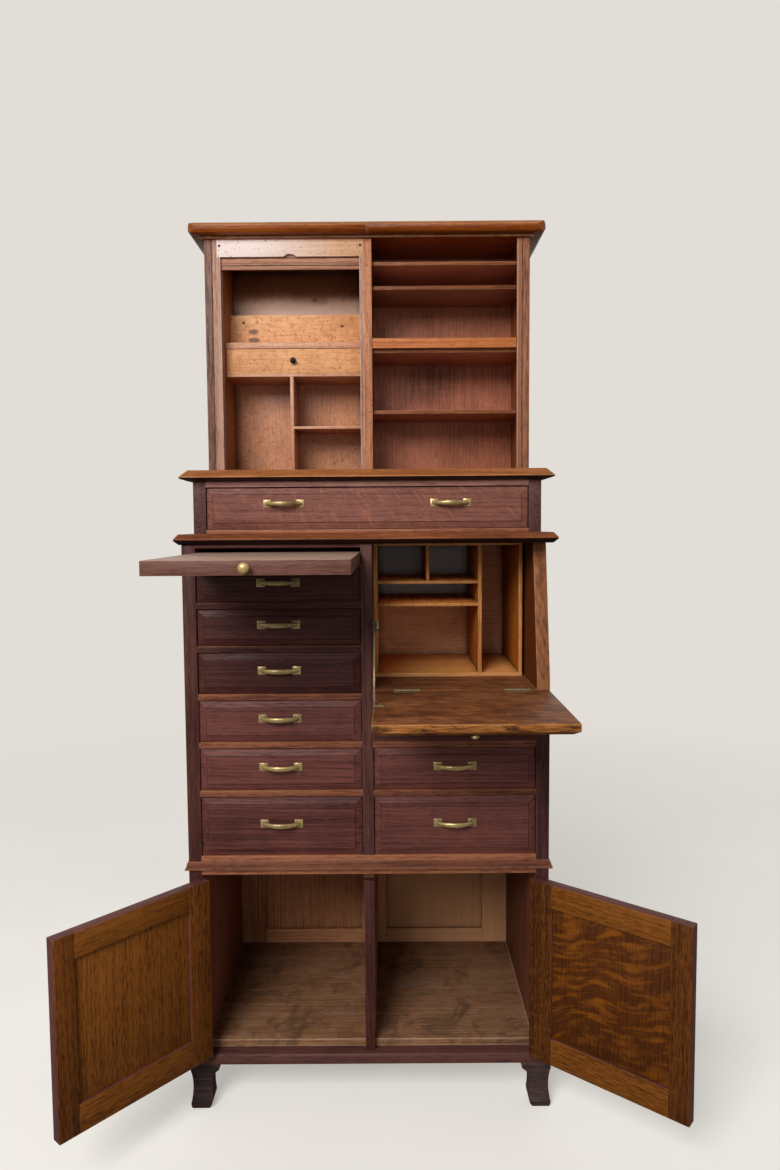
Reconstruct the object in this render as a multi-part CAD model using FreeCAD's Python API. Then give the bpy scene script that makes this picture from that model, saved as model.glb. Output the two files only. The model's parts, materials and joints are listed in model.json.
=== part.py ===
"""Stepped oak secretaire cabinet on ogee feet, in millimetres.

X runs to the right, Y to the back and Z up. The origin is on the floor under the middle of the lower case.
It stands as in use: doors open, desk flap down, writing slide out, tambour up and drawers shut.
"""
import FreeCAD
import Part
import math
import os

V = FreeCAD.Vector

# Lower case
case_width = 750.0
case_depth = 460.0
side_board = 27.0
rear_frame = 18.0
rear_panel = 8.0
rear_stile = 64.0
rear_rail = 52.0
column_divider = 23.0

# Feet and plinth
foot_height = 98.0
foot_block = 61.0
foot_waist = 45.0
foot_toe_width = 38.0
foot_ogee = 4.5
foot_toe_height = 12.0
foot_toe_round = 2.5
foot_wing_height = 12.0
foot_wing_sweep = 10.0
plinth_height = 21.0
plinth_overhang = 6.0
plinth_chamfer = 6.0
plinth_member = 62.0

# Cupboard and its doors
floor_board = 16.0
cupboard_divider = 20.0
divider_strip_setback = 6.0
divider_strip_drop = 15.0
door_height = 379.5
door_thickness = 23.0
door_foot_gap = 6.5
door_head_gap = 3.0
door_meeting_gap = 1.5
hinge_stile = 50.0
meeting_stile = 40.0
door_top_rail = 48.0
door_bottom_rail = 56.0
door_panel = 10.0
door_panel_recess = 6.0
door_panel_border = 26.0
door_panel_bevel = 3.6
left_door_open = 131.7
right_door_open = 140.8
mid_rail_height = 40.0
mid_moulding_height = 17.5
mid_moulding_lift = 11.5
mid_moulding_overhang = 7.0
mid_moulding_bead = 3.5
mid_moulding_step = 2.8
dust_board = 12.0

# Drawer columns: opening heights from the bottom up
left_openings = (125.5, 90.0, 88.5, 87.0, 77.5, 71.0)
right_drawers = 2
drawer_rail = 12.0
rail_depth = 45.0
runner_width = 18.0
face_rail = 7.0

# Drawers
side_play = 1.0
run_play = 0.3
head_play = 1.5
front_thickness = 21.0
front_border = 15.0
front_bevel = 5.0
field_step = 0.9
drawer_side = 9.0
drawer_bottom = 5.0
drawer_bottom_lift = 6.0
drawer_side_drop = 12.0
drawer_end_space = 12.0

# Writing slide
slide_thickness = 24.5
slide_headroom = 9.2
slide_hold = 44.0
slide_end_space = 18.0

# Slant-front desk
frieze_height = 89.5
frieze_thickness = 20.0
bed_board = 18.0
bed_nosing = 4.0
flap_end_gap = 0.4
flap_swing_gap = 4.0
slant_setback = 58.0
flap_thickness = 16.0
flap_bevel = 7.0
flap_border = 11.0
flap_left_gap = 3.5
flap_right_inset = 3.0
flap_shut_play = 0.2
flap_knob_inset = 22.0
pigeonhole_setback = 152.0
pigeonhole_board = 8.0
pigeonhole_shelf = 6.0
pigeonhole_right_gap = 7.0
account_bay = 82.0
lower_shelf_height = 150.0
upper_shelf_height = 200.0
top_bay = 109.0

# Waist
lower_top_thickness = 21.5
lower_top_overhang = 14.0
waist_depth = 347.0
waist_floor_board = 8.0
waist_opening = 91.5
waist_rail = 12.5
waist_top_thickness = 24.0
waist_top_overhang = 26.0
nosing_edge = 4.5

# Shares of a pointed nosing's thickness (its tip) and overhang (the rest)
nosing_tip = 0.46
nosing_root = 0.3
nosing_shoulder = 0.92
nosing_crown = 0.35

# Back of the upper stages
thin_back = 10.0

# Upper case
upper_depth = 184.0
upper_height = 543.0
upper_side = 18.0
face_strip_width = 11.0
face_strip_depth = 14.0
upper_divider = 20.0
cornice_thickness = 23.0
cornice_overhang = 33.0
cornice_corner = 22.0
cornice_slope = 6.0
cornice_belly = 10.35
bead_height = 6.0
bead_overhang = 9.0
bead_bulge = 3.0

# Right bay: heights of the shelf tops above the bay floor
shelf_heights = (148.5, 289.5, 433.5, 488.5)
shelf_board = 8.0
tray_level = 1
tray_height = 22.5
tray_wall = 7.0
tray_bottom = 5.0

# Left bay behind the tambour
left_lining = 20.0
right_lining = 8.0
fittings_setback = 40.0
bay_shelf_height = 313.0
bay_shelf = 14.0
letter_board_height = 77.5
letter_board_setback = 60.0
inner_opening = 60.0
bearer_board = 6.0
bay_upright_offset = 151.0
small_shelf_height = 116.0
ceiling_drop = 32.0
ceiling_board = 5.0

# Tambour
head_rail_height = 45.0
head_rail_thickness = 6.0
notch_width = 30.0
notch_depth = 6.0
track_width = 8.0
track_strip = 4.0
track_play = 1.0
slat_thickness = 6.0
slat_pitch = 12.5
slat_gap = 0.6
slat_count = 38
canvas = 0.8
lead_rail_height = 14.0
lead_rail_drop = 27.0
curtain_bend = 15.0
curtain_top_gap = 3.0
curtain_rear_gap = 1.0
canvas_play = 0.05
false_back = 6.0
false_back_gap = 5.0

# Brass
pull_length = 88.0
pull_plate = 17.0
pull_plate_thickness = 2.5
pull_reach = 22.0
pull_bar = 5.5
pull_bar_height = 10.5
pull_bar_tip = 6.0
pull_grip_inset = 2.0
pull_lift = 6.0
waist_pull_lift = 10.0
waist_pull_spacing = 360.0
knob_radius = 9.2
knob_length = 21.0
small_knob_radius = 7.0
small_knob_length = 15.0
inner_knob_length = 12.0
hinge_leaf = 0.6
hinge_leaf_play = 0.3
hinge_leaf_width = 17.0
barrel_radius = 2.8
barrel_gap = 0.3
pin_radius = 1.2
pin_play = 0.08
door_hinge_length = 60.0
door_hinge_inset = 75.0
flap_leaf = 1.2
flap_leaf_width = 20.0
flap_hinge_length = 52.0
flap_hinge_inset = 66.0
knuckle_play = 0.15
stay_inset = 0.5
stay_radius = 138.0
stay_width = 8.0
stay_thickness = 3.0
stay_plate = 20.0
stay_plate_thickness = 1.5
stay_arc = 118.0
stay_stop_radius = 5.0
stay_play = 0.6
stay_slot_length = 19.6
guide_angle = 66.0
guide_length = 10.0
guide_wall = 4.0

# Shares of a turned knob's radius and length
knob_rosette = 0.8
knob_neck = 0.45
knob_rim = 0.14
knob_neck_end = 0.42
knob_widest = 0.7
knob_crown = 0.96

# Levels
half = case_width / 2
inner = half - side_board
front = -case_depth / 2
back = case_depth / 2
rear = back - rear_frame
plinth_top = foot_height + plinth_height
floor_top = plinth_top + floor_board
door_bottom = plinth_top + door_foot_gap
door_top = door_bottom + door_height
mid_rail_bottom = door_top + door_head_gap
column_bottom = mid_rail_bottom + mid_rail_height
left_bottoms = []
level = column_bottom
for opening in left_openings:
    left_bottoms.append(level)
    level += opening + drawer_rail
slide_bottom = level - drawer_rail + face_rail
slide_top = slide_bottom + run_play + slide_thickness + slide_headroom
case_top = slide_top + face_rail
waist_bottom = case_top + lower_top_thickness
waist_floor = waist_bottom + waist_floor_board
waist_opening_top = waist_floor + waist_opening
waist_top = waist_opening_top + waist_rail
bay_floor = waist_top + waist_top_thickness
upper_top = bay_floor + upper_height

# Plan places
post = column_divider / 2
waist_front = back - waist_depth
upper_front = back - upper_depth
slide_length = rear - slide_end_space - front
slide_out = slide_length - slide_hold
thin_rear = back - thin_back
upper_inner = half - upper_side
upper_post = upper_divider / 2
left_columns = (-inner, -post)
right_columns = (post, inner)

# Desk places
frieze_bottom = left_bottoms[right_drawers]
bed_bottom = frieze_bottom + frieze_height
bed_top = bed_bottom + bed_board
hinge_y = front - bed_nosing
flap_length = case_top - bed_top - flap_swing_gap
slant_angle = math.degrees(math.asin(slant_setback / flap_length))
flap_travel = 90.0 + slant_angle - flap_shut_play
flap_left = post + flap_left_gap
flap_right = half - flap_right_inset
flap_middle = (flap_left + flap_right) / 2

# Tambour places
bay_right = -upper_post
bay_walls = (-upper_inner + left_lining, bay_right - right_lining)
bay_middle = (bay_walls[0] + bay_walls[1]) / 2
track_front = upper_front + head_rail_thickness
track_back = track_front + slat_thickness + canvas + 2 * track_play
lead_bottom = upper_top - head_rail_height - lead_rail_drop
tambour_travel = lead_bottom - bay_floor - run_play
fittings_front = upper_front + fittings_setback


def board(x, y, z):
    """A square-edged board between pairs of coordinates."""
    return Part.makeBox(x[1] - x[0], y[1] - y[0], z[1] - z[0], V(x[0], y[0], z[0]))


def sketch(place, start, *steps):
    """A flat face: each step is a point to go to, or a pair of points to reach by an arc."""
    edges = []
    here = place(*start)
    for step in steps:
        if isinstance(step[0], tuple):
            through, end = place(*step[0]), place(*step[1])
            edges.append(Part.Arc(here, through, end).toShape())
        else:
            end = place(*step)
            edges.append(Part.LineSegment(here, end).toShape())
        here = end
    return Part.Face(Part.Wire(edges))


def along_x(x, *outline):
    """A Y-Z outline drawn out from x[0] to x[1]."""
    return sketch(lambda y, z: V(x[0], y, z), *outline).extrude(V(x[1] - x[0], 0, 0))


def along_y(y, *outline):
    """An X-Z outline drawn out from y[0] to y[1]."""
    return sketch(lambda x, z: V(x, y[0], z), *outline).extrude(V(0, y[1] - y[0], 0))


def along_z(z, *outline):
    """An X-Y outline drawn out from z[0] to z[1]."""
    return sketch(lambda x, y: V(x, y, z[0]), *outline).extrude(V(0, 0, z[1] - z[0]))


def mirrored(solid):
    """The same solid on the other side of the middle plane."""
    return solid.mirror(V(0, 0, 0), V(1, 0, 0))


def joined(first, *others):
    """One solid from pieces that touch."""
    return first.multiFuse(list(others)).removeSplitter()


def frustum(low, high):
    """The solid between two four-cornered outlines."""
    wires = [Part.makePolygon([V(*p) for p in corners + corners[:1]]) for corners in (low, high)]
    return Part.makeLoft(wires, True, True)


def shift(step, move):
    """An outline step with each of its points moved."""
    if isinstance(step[0], tuple):
        return tuple(move(*p) for p in step)
    return move(*step)


def moulded(width_half, face, depth, start, *steps):
    """A board whose nosing runs along the front and returns on both ends.

    The nosing's points are (overhang, height), from its lower edge to its upper edge.
    """
    last = steps[-1][1] if isinstance(steps[-1][0], tuple) else steps[-1]
    reach = max(depth, 2 * width_half) + case_width
    run = (-width_half - reach, width_half + reach)
    nose = along_x(run, *[shift(p, lambda a, z: (face - a, z)) for p in
                          (start, *steps, (-depth, last[1]), (-depth, start[1]), start)])
    end = along_y((face - reach, face + reach), *[shift(p, lambda a, z: (width_half + a, z)) for p in
                  (start, *steps, (-reach, last[1]), (-reach, start[1]), start)])
    return nose.common(end).common(mirrored(end))


def applied_strips(slab, width_half, face):
    """The part of a moulded slab outside a case: one front strip and two side strips."""
    box = slab.BoundBox
    z = (box.ZMin, box.ZMax)
    ahead = board((box.XMin, box.XMax), (box.YMin, face), z)
    beside = board((width_half, box.XMax), (face, box.YMax), z)
    return [slab.common(region) for region in (ahead, beside, mirrored(beside))]


def turned(radius, length, base, direction):
    """A turned knob: rosette, neck and rounded head."""
    rosette, neck, rim = knob_rosette * radius, knob_neck * radius, knob_rim * length
    profile = sketch(
        lambda r, h: V(r, 0, h),
        (0, 0), (rosette, 0), (rosette, rim), (neck, 2 * rim), (neck, knob_neck_end * length),
        ((radius, knob_widest * length), (neck, knob_crown * length)), (0, length), (0, 0))
    knob = profile.revolve(V(0, 0, 0), V(0, 0, 1), 360)
    knob = knob if knob.ShapeType == "Solid" else Part.Solid(knob.Shells[0])
    turn = FreeCAD.Rotation(V(0, 0, 1), direction)
    knob.Placement = FreeCAD.Placement(base, turn)
    return knob


def bow_pull(x, face, z):
    """A cast brass pull: two square plates joined by a bowed grip that tapers to its ends."""
    plates = []
    foot = face - pull_plate_thickness
    reach = pull_length / 2
    for side in (-1, 1):
        span = sorted((x + side * reach, x + side * (reach - pull_plate)))
        plates.append(board(span, (foot, face), (z - pull_plate / 2, z + pull_plate / 2)))
    outside = reach - pull_grip_inset
    inside = outside - 2 * pull_bar
    tip, thick = pull_bar_tip / 2, pull_bar_height / 2
    bow = along_z(
        (z - thick, z + thick),
        (x - outside, foot), ((x, face - pull_reach), (x + outside, foot)), (x + inside, foot),
        ((x, face - pull_reach + pull_bar), (x - inside, foot)), (x - outside, foot))
    taper = along_y(
        (face - 2 * pull_reach, foot),
        (x - outside, z - tip), ((x, z - thick), (x + outside, z - tip)), (x + outside, z + tip),
        ((x, z + thick), (x - outside, z + tip)), (x - outside, z - tip))
    return joined(bow.common(taper), *plates)


def feet():
    """Four ogee bracket feet, each curved on both of its outer faces."""
    toe = foot_toe_height
    wing = foot_height - foot_wing_height
    middle = (toe + wing) / 2
    ankle = (middle + wing) / 2
    bulge = foot_toe_round / 5
    outline = (
        (foot_toe_round, 0), ((bulge, toe / 2), (0, toe)), ((foot_ogee, middle), (0, wing)),
        (0, foot_height), (foot_block, foot_height), (foot_block, wing),
        ((foot_block - foot_wing_sweep, (ankle + wing) / 2), (foot_waist, ankle)),
        ((foot_waist - 2 * bulge, middle), (foot_waist, 2 * toe)),
        ((foot_waist - foot_toe_round, toe / 2), (foot_toe_width, 0)), (foot_toe_round, 0))
    left = -half - plinth_overhang
    ahead = front - plinth_overhang
    across = along_y((ahead, ahead + foot_block),
                     *[shift(p, lambda u, z: (left + u, z)) for p in outline])
    fore = along_x((left, left + foot_block),
                   *[shift(p, lambda u, z: (ahead + u, z)) for p in outline])
    near = across.common(fore)
    far = near.mirror(V(0, ahead, 0), V(0, 1, 0))
    far.translate(V(0, case_depth + plinth_overhang, 0))
    return [near, mirrored(near), far, mirrored(far)]


def plinth_frame():
    """The frame under the case: front, back and side members with a chamfered outer edge."""
    slab = moulded(half, front, case_depth,
                   (plinth_overhang, foot_height), (plinth_overhang, plinth_top - plinth_chamfer),
                   (plinth_overhang - plinth_chamfer / 2, plinth_top))
    far = half + 2 * plinth_overhang
    z = (foot_height, plinth_top)
    regions = [
        board((-far, far), (front - far, front + plinth_member), z),
        board((-far, far), (back - plinth_member, back + far), z),
        board((-far, -half + plinth_member), (front + plinth_member, back - plinth_member), z),
        board((half - plinth_member, far), (front + plinth_member, back - plinth_member), z)]
    return [slab.common(region) for region in regions]


def lower_sides():
    """Full-height left side, and right side cut back on the desk's slant."""
    left = board((-half, -inner), (front, back), (plinth_top, case_top))
    lean = math.tan(math.radians(slant_angle))
    foot_of_slant = bed_top + bed_nosing / lean
    head_of_slant = hinge_y + lean * (case_top - bed_top)
    right = along_x(
        (inner, half), (front, plinth_top), (front, foot_of_slant), (head_of_slant, case_top),
        (back, case_top), (back, plinth_top), (front, plinth_top))
    return [left, right]


door_seat = front + door_thickness + barrel_gap


def cupboard_floor():
    """The floor board, with its front edge behind the doors."""
    return [board((-inner, inner), (door_seat, rear), (plinth_top, floor_top))]


def cupboard_upright():
    """The board that parts the two halves of the cupboard, and the strip on it between the doors."""
    x = (-cupboard_divider / 2, cupboard_divider / 2)
    strip = (front + divider_strip_setback, door_seat)
    return [board(x, (door_seat, rear), (floor_top, column_bottom - dust_board)),
            board(x, strip, (plinth_top, door_top - divider_strip_drop))]


def mid_rail():
    """The rail over the doors, its applied moulding, and the dust board behind it."""
    rail = board((-inner, inner), (front, front + rail_depth), (mid_rail_bottom, column_bottom))
    rail = rail.cut(board((-cupboard_divider / 2, cupboard_divider / 2), (door_seat, rear),
                          (mid_rail_bottom, column_bottom - dust_board)))
    dust = board((-inner, inner), (front + rail_depth, rear), (column_bottom - dust_board, column_bottom))
    low = mid_rail_bottom + mid_moulding_lift
    high = low + mid_moulding_height
    bead = mid_moulding_bead
    out = mid_moulding_overhang
    step = out - mid_moulding_step
    slab = moulded(half, front, case_depth,
                   (out, low), (out, low + bead), (step, low + bead), (step, high - 2 * bead),
                   (step - mid_moulding_step, high))
    return [rail, dust] + applied_strips(slab, half, front)


def column_upright():
    """The board between the two drawer columns, which is also the desk's left cheek."""
    return [board((-post, post), (front, rear), (column_bottom, case_top))]


def drawer_rails():
    """Front rails between the openings, with runners behind them along both walls."""
    solids = []
    for columns, count in ((left_columns, len(left_openings)), (right_columns, right_drawers)):
        for bottom in left_bottoms[1:count]:
            solids += rail_and_runners(columns, (bottom - drawer_rail, bottom))
    solids += rail_and_runners(left_columns, (slide_bottom - face_rail, slide_bottom))
    y = (front, front + rail_depth)
    solids.append(board(left_columns, y, (slide_top, case_top)))
    solids.append(board(right_columns, y, (frieze_bottom - drawer_rail, frieze_bottom)))
    return solids


def rail_and_runners(columns, z):
    """One rail across a column and a runner on each of its walls."""
    left, right = columns
    y = (front + rail_depth, rear)
    return [board(columns, (front, front + rail_depth), z),
            board((left, left + runner_width), y, z),
            board((right - runner_width, right), y, z)]


stay_left = flap_left + stay_inset


def desk_bed():
    """The fixed writing bed with its hinge seats and stay slot, and the frieze under its front edge."""
    bed = board(right_columns, (hinge_y + flap_end_gap, rear), (bed_bottom, bed_top))
    for x in flap_hinge_places():
        bed = bed.cut(hinge_seat(x, 1))
    slot_half = stay_stop_radius + 2 * stay_play
    middle = stay_left + stay_thickness / 2
    reach = stay_radius + stay_width / 2
    bed = bed.cut(board((middle - slot_half, middle + slot_half),
                        (hinge_y + reach + stay_play - stay_slot_length, hinge_y + reach + stay_play),
                        (bed_bottom, bed_top)))
    frieze = board(right_columns, (front, front + frieze_thickness), (frieze_bottom, bed_bottom))
    return [bed, frieze]


def flap_hinge_places():
    """Left ends of the two flap hinges."""
    middles = (flap_left + flap_hinge_inset, flap_right - flap_hinge_inset)
    return [middle - flap_hinge_length / 2 for middle in middles]


def hinge_seat(x, side):
    """What a flap hinge takes out of the bed (side 1) or the flap (side -1)."""
    room = barrel_radius + barrel_gap
    span = (x - barrel_gap, x + flap_hinge_length + barrel_gap)
    y = sorted((hinge_y, hinge_y + side * (flap_leaf_width + barrel_gap)))
    leaf = board(span, y, (bed_top - flap_leaf, bed_top))
    return leaf.fuse(on_hinge_line(room, span[0], span[1] - span[0]))


def knuckle_spans(length, first, total=5):
    """Alternate fifths of a hinge's length, each with a little play at its ends."""
    step = length / total
    return [(i * step + knuckle_play, (i + 1) * step - knuckle_play) for i in range(first, total, 2)]


def on_hinge_line(radius, x, length):
    """A cylinder along the flap's hinge line."""
    return Part.makeCylinder(radius, length, V(x, hinge_y, bed_top), V(1, 0, 0))


def flap_leaf_solids(side):
    """The bed leaves (side 1) or flap leaves (side -1) of the desk hinges."""
    leaves = []
    for x in flap_hinge_places():
        clear = barrel_radius + barrel_gap
        y = sorted((hinge_y + side * clear, hinge_y + side * flap_leaf_width))
        z = (bed_top - flap_leaf, bed_top)
        parts = [board((x, x + flap_hinge_length), y, z)]
        for low, high in knuckle_spans(flap_hinge_length, 0 if side > 0 else 1):
            tongue = sorted((hinge_y, hinge_y + side * clear))
            parts.append(board((x + low, x + high), tongue, z))
            parts.append(on_hinge_line(barrel_radius, x + low, high - low))
        bore = pin_radius if side > 0 else pin_radius + pin_play
        leaves.append(joined(*parts).cut(on_hinge_line(bore, x, flap_hinge_length)))
    return leaves


def bed_hinges():
    """The leaves let into the bed, and the pins of the desk hinges."""
    pins = [on_hinge_line(pin_radius, x, flap_hinge_length) for x in flap_hinge_places()]
    return flap_leaf_solids(1) + pins


def stay_ring(play):
    """The whole ring that the quadrant stay is a part of, with play on its section."""
    low = stay_left - play
    span = stay_thickness + 2 * play
    outer = on_hinge_line(stay_radius + stay_width / 2 + play, low, span)
    return outer.cut(on_hinge_line(stay_radius - stay_width / 2 - play, low, span))


def stay_guide():
    """The brass guide on the desk's left cheek that the quadrant stay runs through."""
    reach = stay_width / 2 + stay_play + guide_wall
    x = (post, stay_left + stay_thickness + stay_play + guide_wall)
    block = board(x, (hinge_y + stay_radius - reach, hinge_y + stay_radius + reach),
                  (bed_top - guide_length / 2, bed_top + guide_length / 2))
    block.rotate(V(0, hinge_y, bed_top), V(1, 0, 0), guide_angle)
    return [block.cut(stay_ring(stay_play))]


def flap_stay():
    """The quadrant stay: a plate on the flap, an arc round the hinge line and a stop stud at its end."""
    def at(radius, angle):
        turn = math.radians(angle)
        return (hinge_y + radius * math.cos(turn), bed_top + radius * math.sin(turn))

    outer, bore = stay_radius + stay_width / 2, stay_radius - stay_width / 2
    end = 180.0 - stay_arc
    middle = 180.0 - stay_arc / 2
    arc = along_x((stay_left, stay_left + stay_thickness),
                  at(outer, 180), (at(outer, middle), at(outer, end)), at(bore, end),
                  (at(bore, middle), at(bore, 180)), at(outer, 180))
    y = hinge_y - stay_radius
    plate = board((stay_left, stay_left + stay_plate), (y - stay_plate / 2, y + stay_plate / 2),
                  (bed_top, bed_top + stay_plate_thickness))
    stop = stay_stop_radius - stay_play
    stop_left = stay_left + stay_thickness / 2 - stop
    stud = Part.makeCylinder(stop, 2 * stop, V(stop_left, *at(stay_radius, end)), V(1, 0, 0))
    return [joined(arc, plate, stud)]


def flap():
    """The desk flap, bevelled on three edges of its outer face."""
    x = (flap_left, flap_right)
    y = (hinge_y - flap_length, hinge_y - flap_end_gap)
    bottom = bed_top - flap_thickness
    arris = bottom + flap_bevel
    upper = board(x, y, (arris, bed_top))
    wide = [(x[0], y[0], arris), (x[1], y[0], arris), (x[1], y[1], arris), (x[0], y[1], arris)]
    inset = (x[0] + flap_border, x[1] - flap_border, y[0] + flap_border)
    narrow = [(inset[0], inset[2], bottom), (inset[1], inset[2], bottom), (inset[1], y[1], bottom),
              (inset[0], y[1], bottom)]
    leaf = joined(upper, frustum(narrow, wide))
    for place in flap_hinge_places():
        leaf = leaf.cut(hinge_seat(place, -1))
    return [leaf]


def flap_knob():
    """A brass knob on the flap's outer face, near its free edge."""
    base = V(flap_middle, hinge_y - flap_length + flap_knob_inset, bed_top - flap_thickness)
    return [turned(small_knob_radius, small_knob_length, base, V(0, 0, -1))]


def desk_pigeonholes():
    """The pigeonhole unit that stands on the bed: uprights, shelves, bottom, top and back."""
    t = pigeonhole_board
    x = (post, inner - pigeonhole_right_gap)
    y = (front + pigeonhole_setback, rear - t)
    floor = bed_top + t
    head = case_top - t
    tall = x[1] - t - account_bay
    solids = [
        board(x, y, (bed_top, floor)), board(x, y, (head, case_top)),
        board((x[0], x[0] + t), y, (floor, head)), board((x[1] - t, x[1]), y, (floor, head)),
        board((tall - t, tall), y, (floor, head)),
        board(x, (rear - t, rear), (bed_top, case_top))]
    across = (x[0] + t, tall - t)
    for height in (lower_shelf_height, upper_shelf_height):
        solids.append(board(across, y, (floor + height, floor + height + pigeonhole_shelf)))
    part = x[0] + t + top_bay
    ledge = floor + upper_shelf_height + pigeonhole_shelf
    solids.append(board((part, part + pigeonhole_shelf), y, (ledge, head)))
    return solids


def lower_back():
    """The framed back: stiles, muntin, three rails and four thin panels."""
    y = (rear, back)
    z = (plinth_top, case_top)
    edge = rear_stile / 2
    xs = [(-inner, -inner + rear_stile), (-edge, edge), (inner - rear_stile, inner)]
    solids = [board(x, y, z) for x in xs]
    middle = column_bottom - rear_rail / 2
    rails = [(z[0], z[0] + rear_rail), (middle, middle + rear_rail), (z[1] - rear_rail, z[1])]
    sink = (rear_frame - rear_panel) / 2
    for left, right in zip(xs[:-1], xs[1:]):
        span = (left[1], right[0])
        solids += [board(span, y, rail) for rail in rails]
        for low, high in zip(rails[:-1], rails[1:]):
            solids.append(board(span, (rear + sink, back - sink), (low[1], high[0])))
    return solids


def pointed_nosing(low, thickness, overhang):
    """A nosing that rises to a point a little under its middle and slopes back to the top."""
    tip = low + nosing_tip * thickness
    edge = nosing_edge / 2
    shoulder = nosing_shoulder * overhang
    return ((nosing_root * overhang, low), (shoulder, tip - edge), (overhang, tip), (shoulder, tip + edge),
            (nosing_crown * overhang, low + thickness))


def lower_top():
    """The board over the drawers and the desk."""
    nosing = pointed_nosing(case_top, lower_top_thickness, lower_top_overhang)
    return [moulded(half, front, case_depth, *nosing)]


def waist_case():
    """The sides, front rail, back and floor of the waist."""
    z = (waist_bottom, waist_top)
    side = board((inner, half), (waist_front, back), z)
    between = (-inner, inner)
    rail = board(between, (waist_front, waist_front + rail_depth), (waist_opening_top, waist_top))
    rear_board = board(between, (thin_rear, back), z)
    floor = board(between, (waist_front, thin_rear), (waist_bottom, waist_floor))
    return [side, mirrored(side), rail, rear_board, floor]


def waist_board():
    """The board over the waist, which carries the upper case."""
    nosing = pointed_nosing(waist_top, waist_top_thickness, waist_top_overhang)
    return [moulded(half, waist_front, waist_depth, *nosing)]


def upper_sides():
    """The upper case's sides, each with a narrow face strip inside its front edge."""
    z = (bay_floor, upper_top)
    side = board((upper_inner, half), (upper_front, back), z)
    x = (upper_inner - face_strip_width, upper_inner)
    strip = board(x, (upper_front, upper_front + face_strip_depth), z)
    thin_strip = mirrored(board(x, (upper_front, track_front), z))
    return [side, mirrored(side), strip, thin_strip]


def upper_post_board():
    """The board between the tambour bay and the open shelves."""
    return [board((-upper_post, upper_post), (upper_front, thin_rear), (bay_floor, upper_top))]


def upper_back():
    """The upper case's back board."""
    return [board((-upper_inner, upper_inner), (thin_rear, back), (bay_floor, upper_top))]


def cornice():
    """The top board in two halves with a rounded nosing, and the bead under it."""
    top = upper_top + cornice_thickness
    belly = cornice_belly
    slab = moulded(half, upper_front, upper_depth,
                   (cornice_overhang - belly, upper_top),
                   ((cornice_overhang, upper_top + belly), (cornice_overhang - cornice_slope, top)))
    reach = half + cornice_overhang
    ahead = upper_front - cornice_overhang
    bend = cornice_corner * (1 - math.sqrt(0.5))
    plan = along_z((upper_top, top),
                   (-reach, ahead + cornice_corner),
                   ((-reach + bend, ahead + bend), (-reach + cornice_corner, ahead)),
                   (reach - cornice_corner, ahead),
                   ((reach - bend, ahead + bend), (reach, ahead + cornice_corner)),
                   (reach, back), (-reach, back), (-reach, ahead + cornice_corner))
    slab = slab.common(plan)
    right = slab.common(board((0, reach), (ahead, back), (upper_top, top)))
    low = upper_top - bead_height
    bead = moulded(half, upper_front, upper_depth,
                   (bead_overhang - bead_bulge, low),
                   ((bead_overhang, low + bead_height / 2), (bead_overhang - bead_bulge, upper_top)))
    return [mirrored(right), right] + applied_strips(bead, half, upper_front)


shelf_front = upper_front + face_strip_depth
shelf_span = (upper_post, upper_inner)


def right_shelves():
    """The fixed shelves of the open bay."""
    return [board(shelf_span, (shelf_front, thin_rear), (bay_floor + h - shelf_board, bay_floor + h))
            for h in shelf_heights]


def shelf_tray():
    """A shallow tray that slides on one of the shelves."""
    x = (shelf_span[0] + side_play, upper_inner - face_strip_width - side_play)
    z0 = bay_floor + shelf_heights[tray_level] + run_play
    z = (z0, z0 + tray_height)
    y = (upper_front + side_play, thin_rear - drawer_end_space)
    return tray_boards(x, y, z, tray_wall, tray_wall, tray_bottom, 0.0, z[1])


def tray_boards(x, y, z, front_board, wall, bottom, lift, side_top):
    """Front, two sides, back and bottom of an open box."""
    behind = y[0] + front_board
    floor = (z[0] + lift, z[0] + lift + bottom)
    solids = [board(x, (y[0], behind), z),
              board((x[0], x[0] + wall), (behind, y[1]), (z[0], side_top)),
              board((x[1] - wall, x[1]), (behind, y[1]), (z[0], side_top)),
              board((x[0] + wall, x[1] - wall), (y[1] - wall, y[1]), (z[0], side_top)),
              board((x[0] + wall, x[1] - wall), (behind, y[1] - wall), floor)]
    return solids


def fielded(x, y, z, border, bevel):
    """A board whose front face has a bevelled border round a slightly raised field."""
    ledge = y[0] + field_step
    edge = ledge + bevel
    inset = (x[0] + border, x[1] - border, z[0] + border, z[1] - border)
    low = [(x[0], edge, z[0]), (x[1], edge, z[0]), (x[1], edge, z[1]), (x[0], edge, z[1])]
    high = [(inset[0], ledge, inset[2]), (inset[1], ledge, inset[2]), (inset[1], ledge, inset[3]),
            (inset[0], ledge, inset[3])]
    body = board(x, (edge, y[1]), z)
    field = board(inset[:2], (y[0], ledge), inset[2:])
    return joined(body, frustum(low, high), field)


def drawer(columns, face, bottom, opening, rear_wall):
    """A drawer in its opening: fielded front, sides, back and bottom."""
    x = (columns[0] + side_play, columns[1] - side_play)
    z = (bottom + run_play, bottom + opening - head_play)
    y = (face, rear_wall - drawer_end_space)
    boards = tray_boards(x, y, z, front_thickness, drawer_side, drawer_bottom, drawer_bottom_lift,
                         z[1] - drawer_side_drop)
    return [fielded(x, (face, face + front_thickness), z, front_border, front_bevel)] + boards[1:]


def middle_of(columns):
    """The middle of a drawer column."""
    return (columns[0] + columns[1]) / 2


def writing_slide():
    """The pull-out writing board."""
    x = (left_columns[0] + side_play, left_columns[1] - side_play)
    z = (slide_bottom + run_play, slide_bottom + run_play + slide_thickness)
    return [board(x, (front - slide_out, front - slide_out + slide_length), z)]


def writing_slide_knob():
    """The brass knob on the slide's front edge."""
    base = V(middle_of(left_columns), front - slide_out, slide_bottom + run_play + slide_thickness / 2)
    return [turned(knob_radius, knob_length, base, V(0, -1, 0))]


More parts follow.
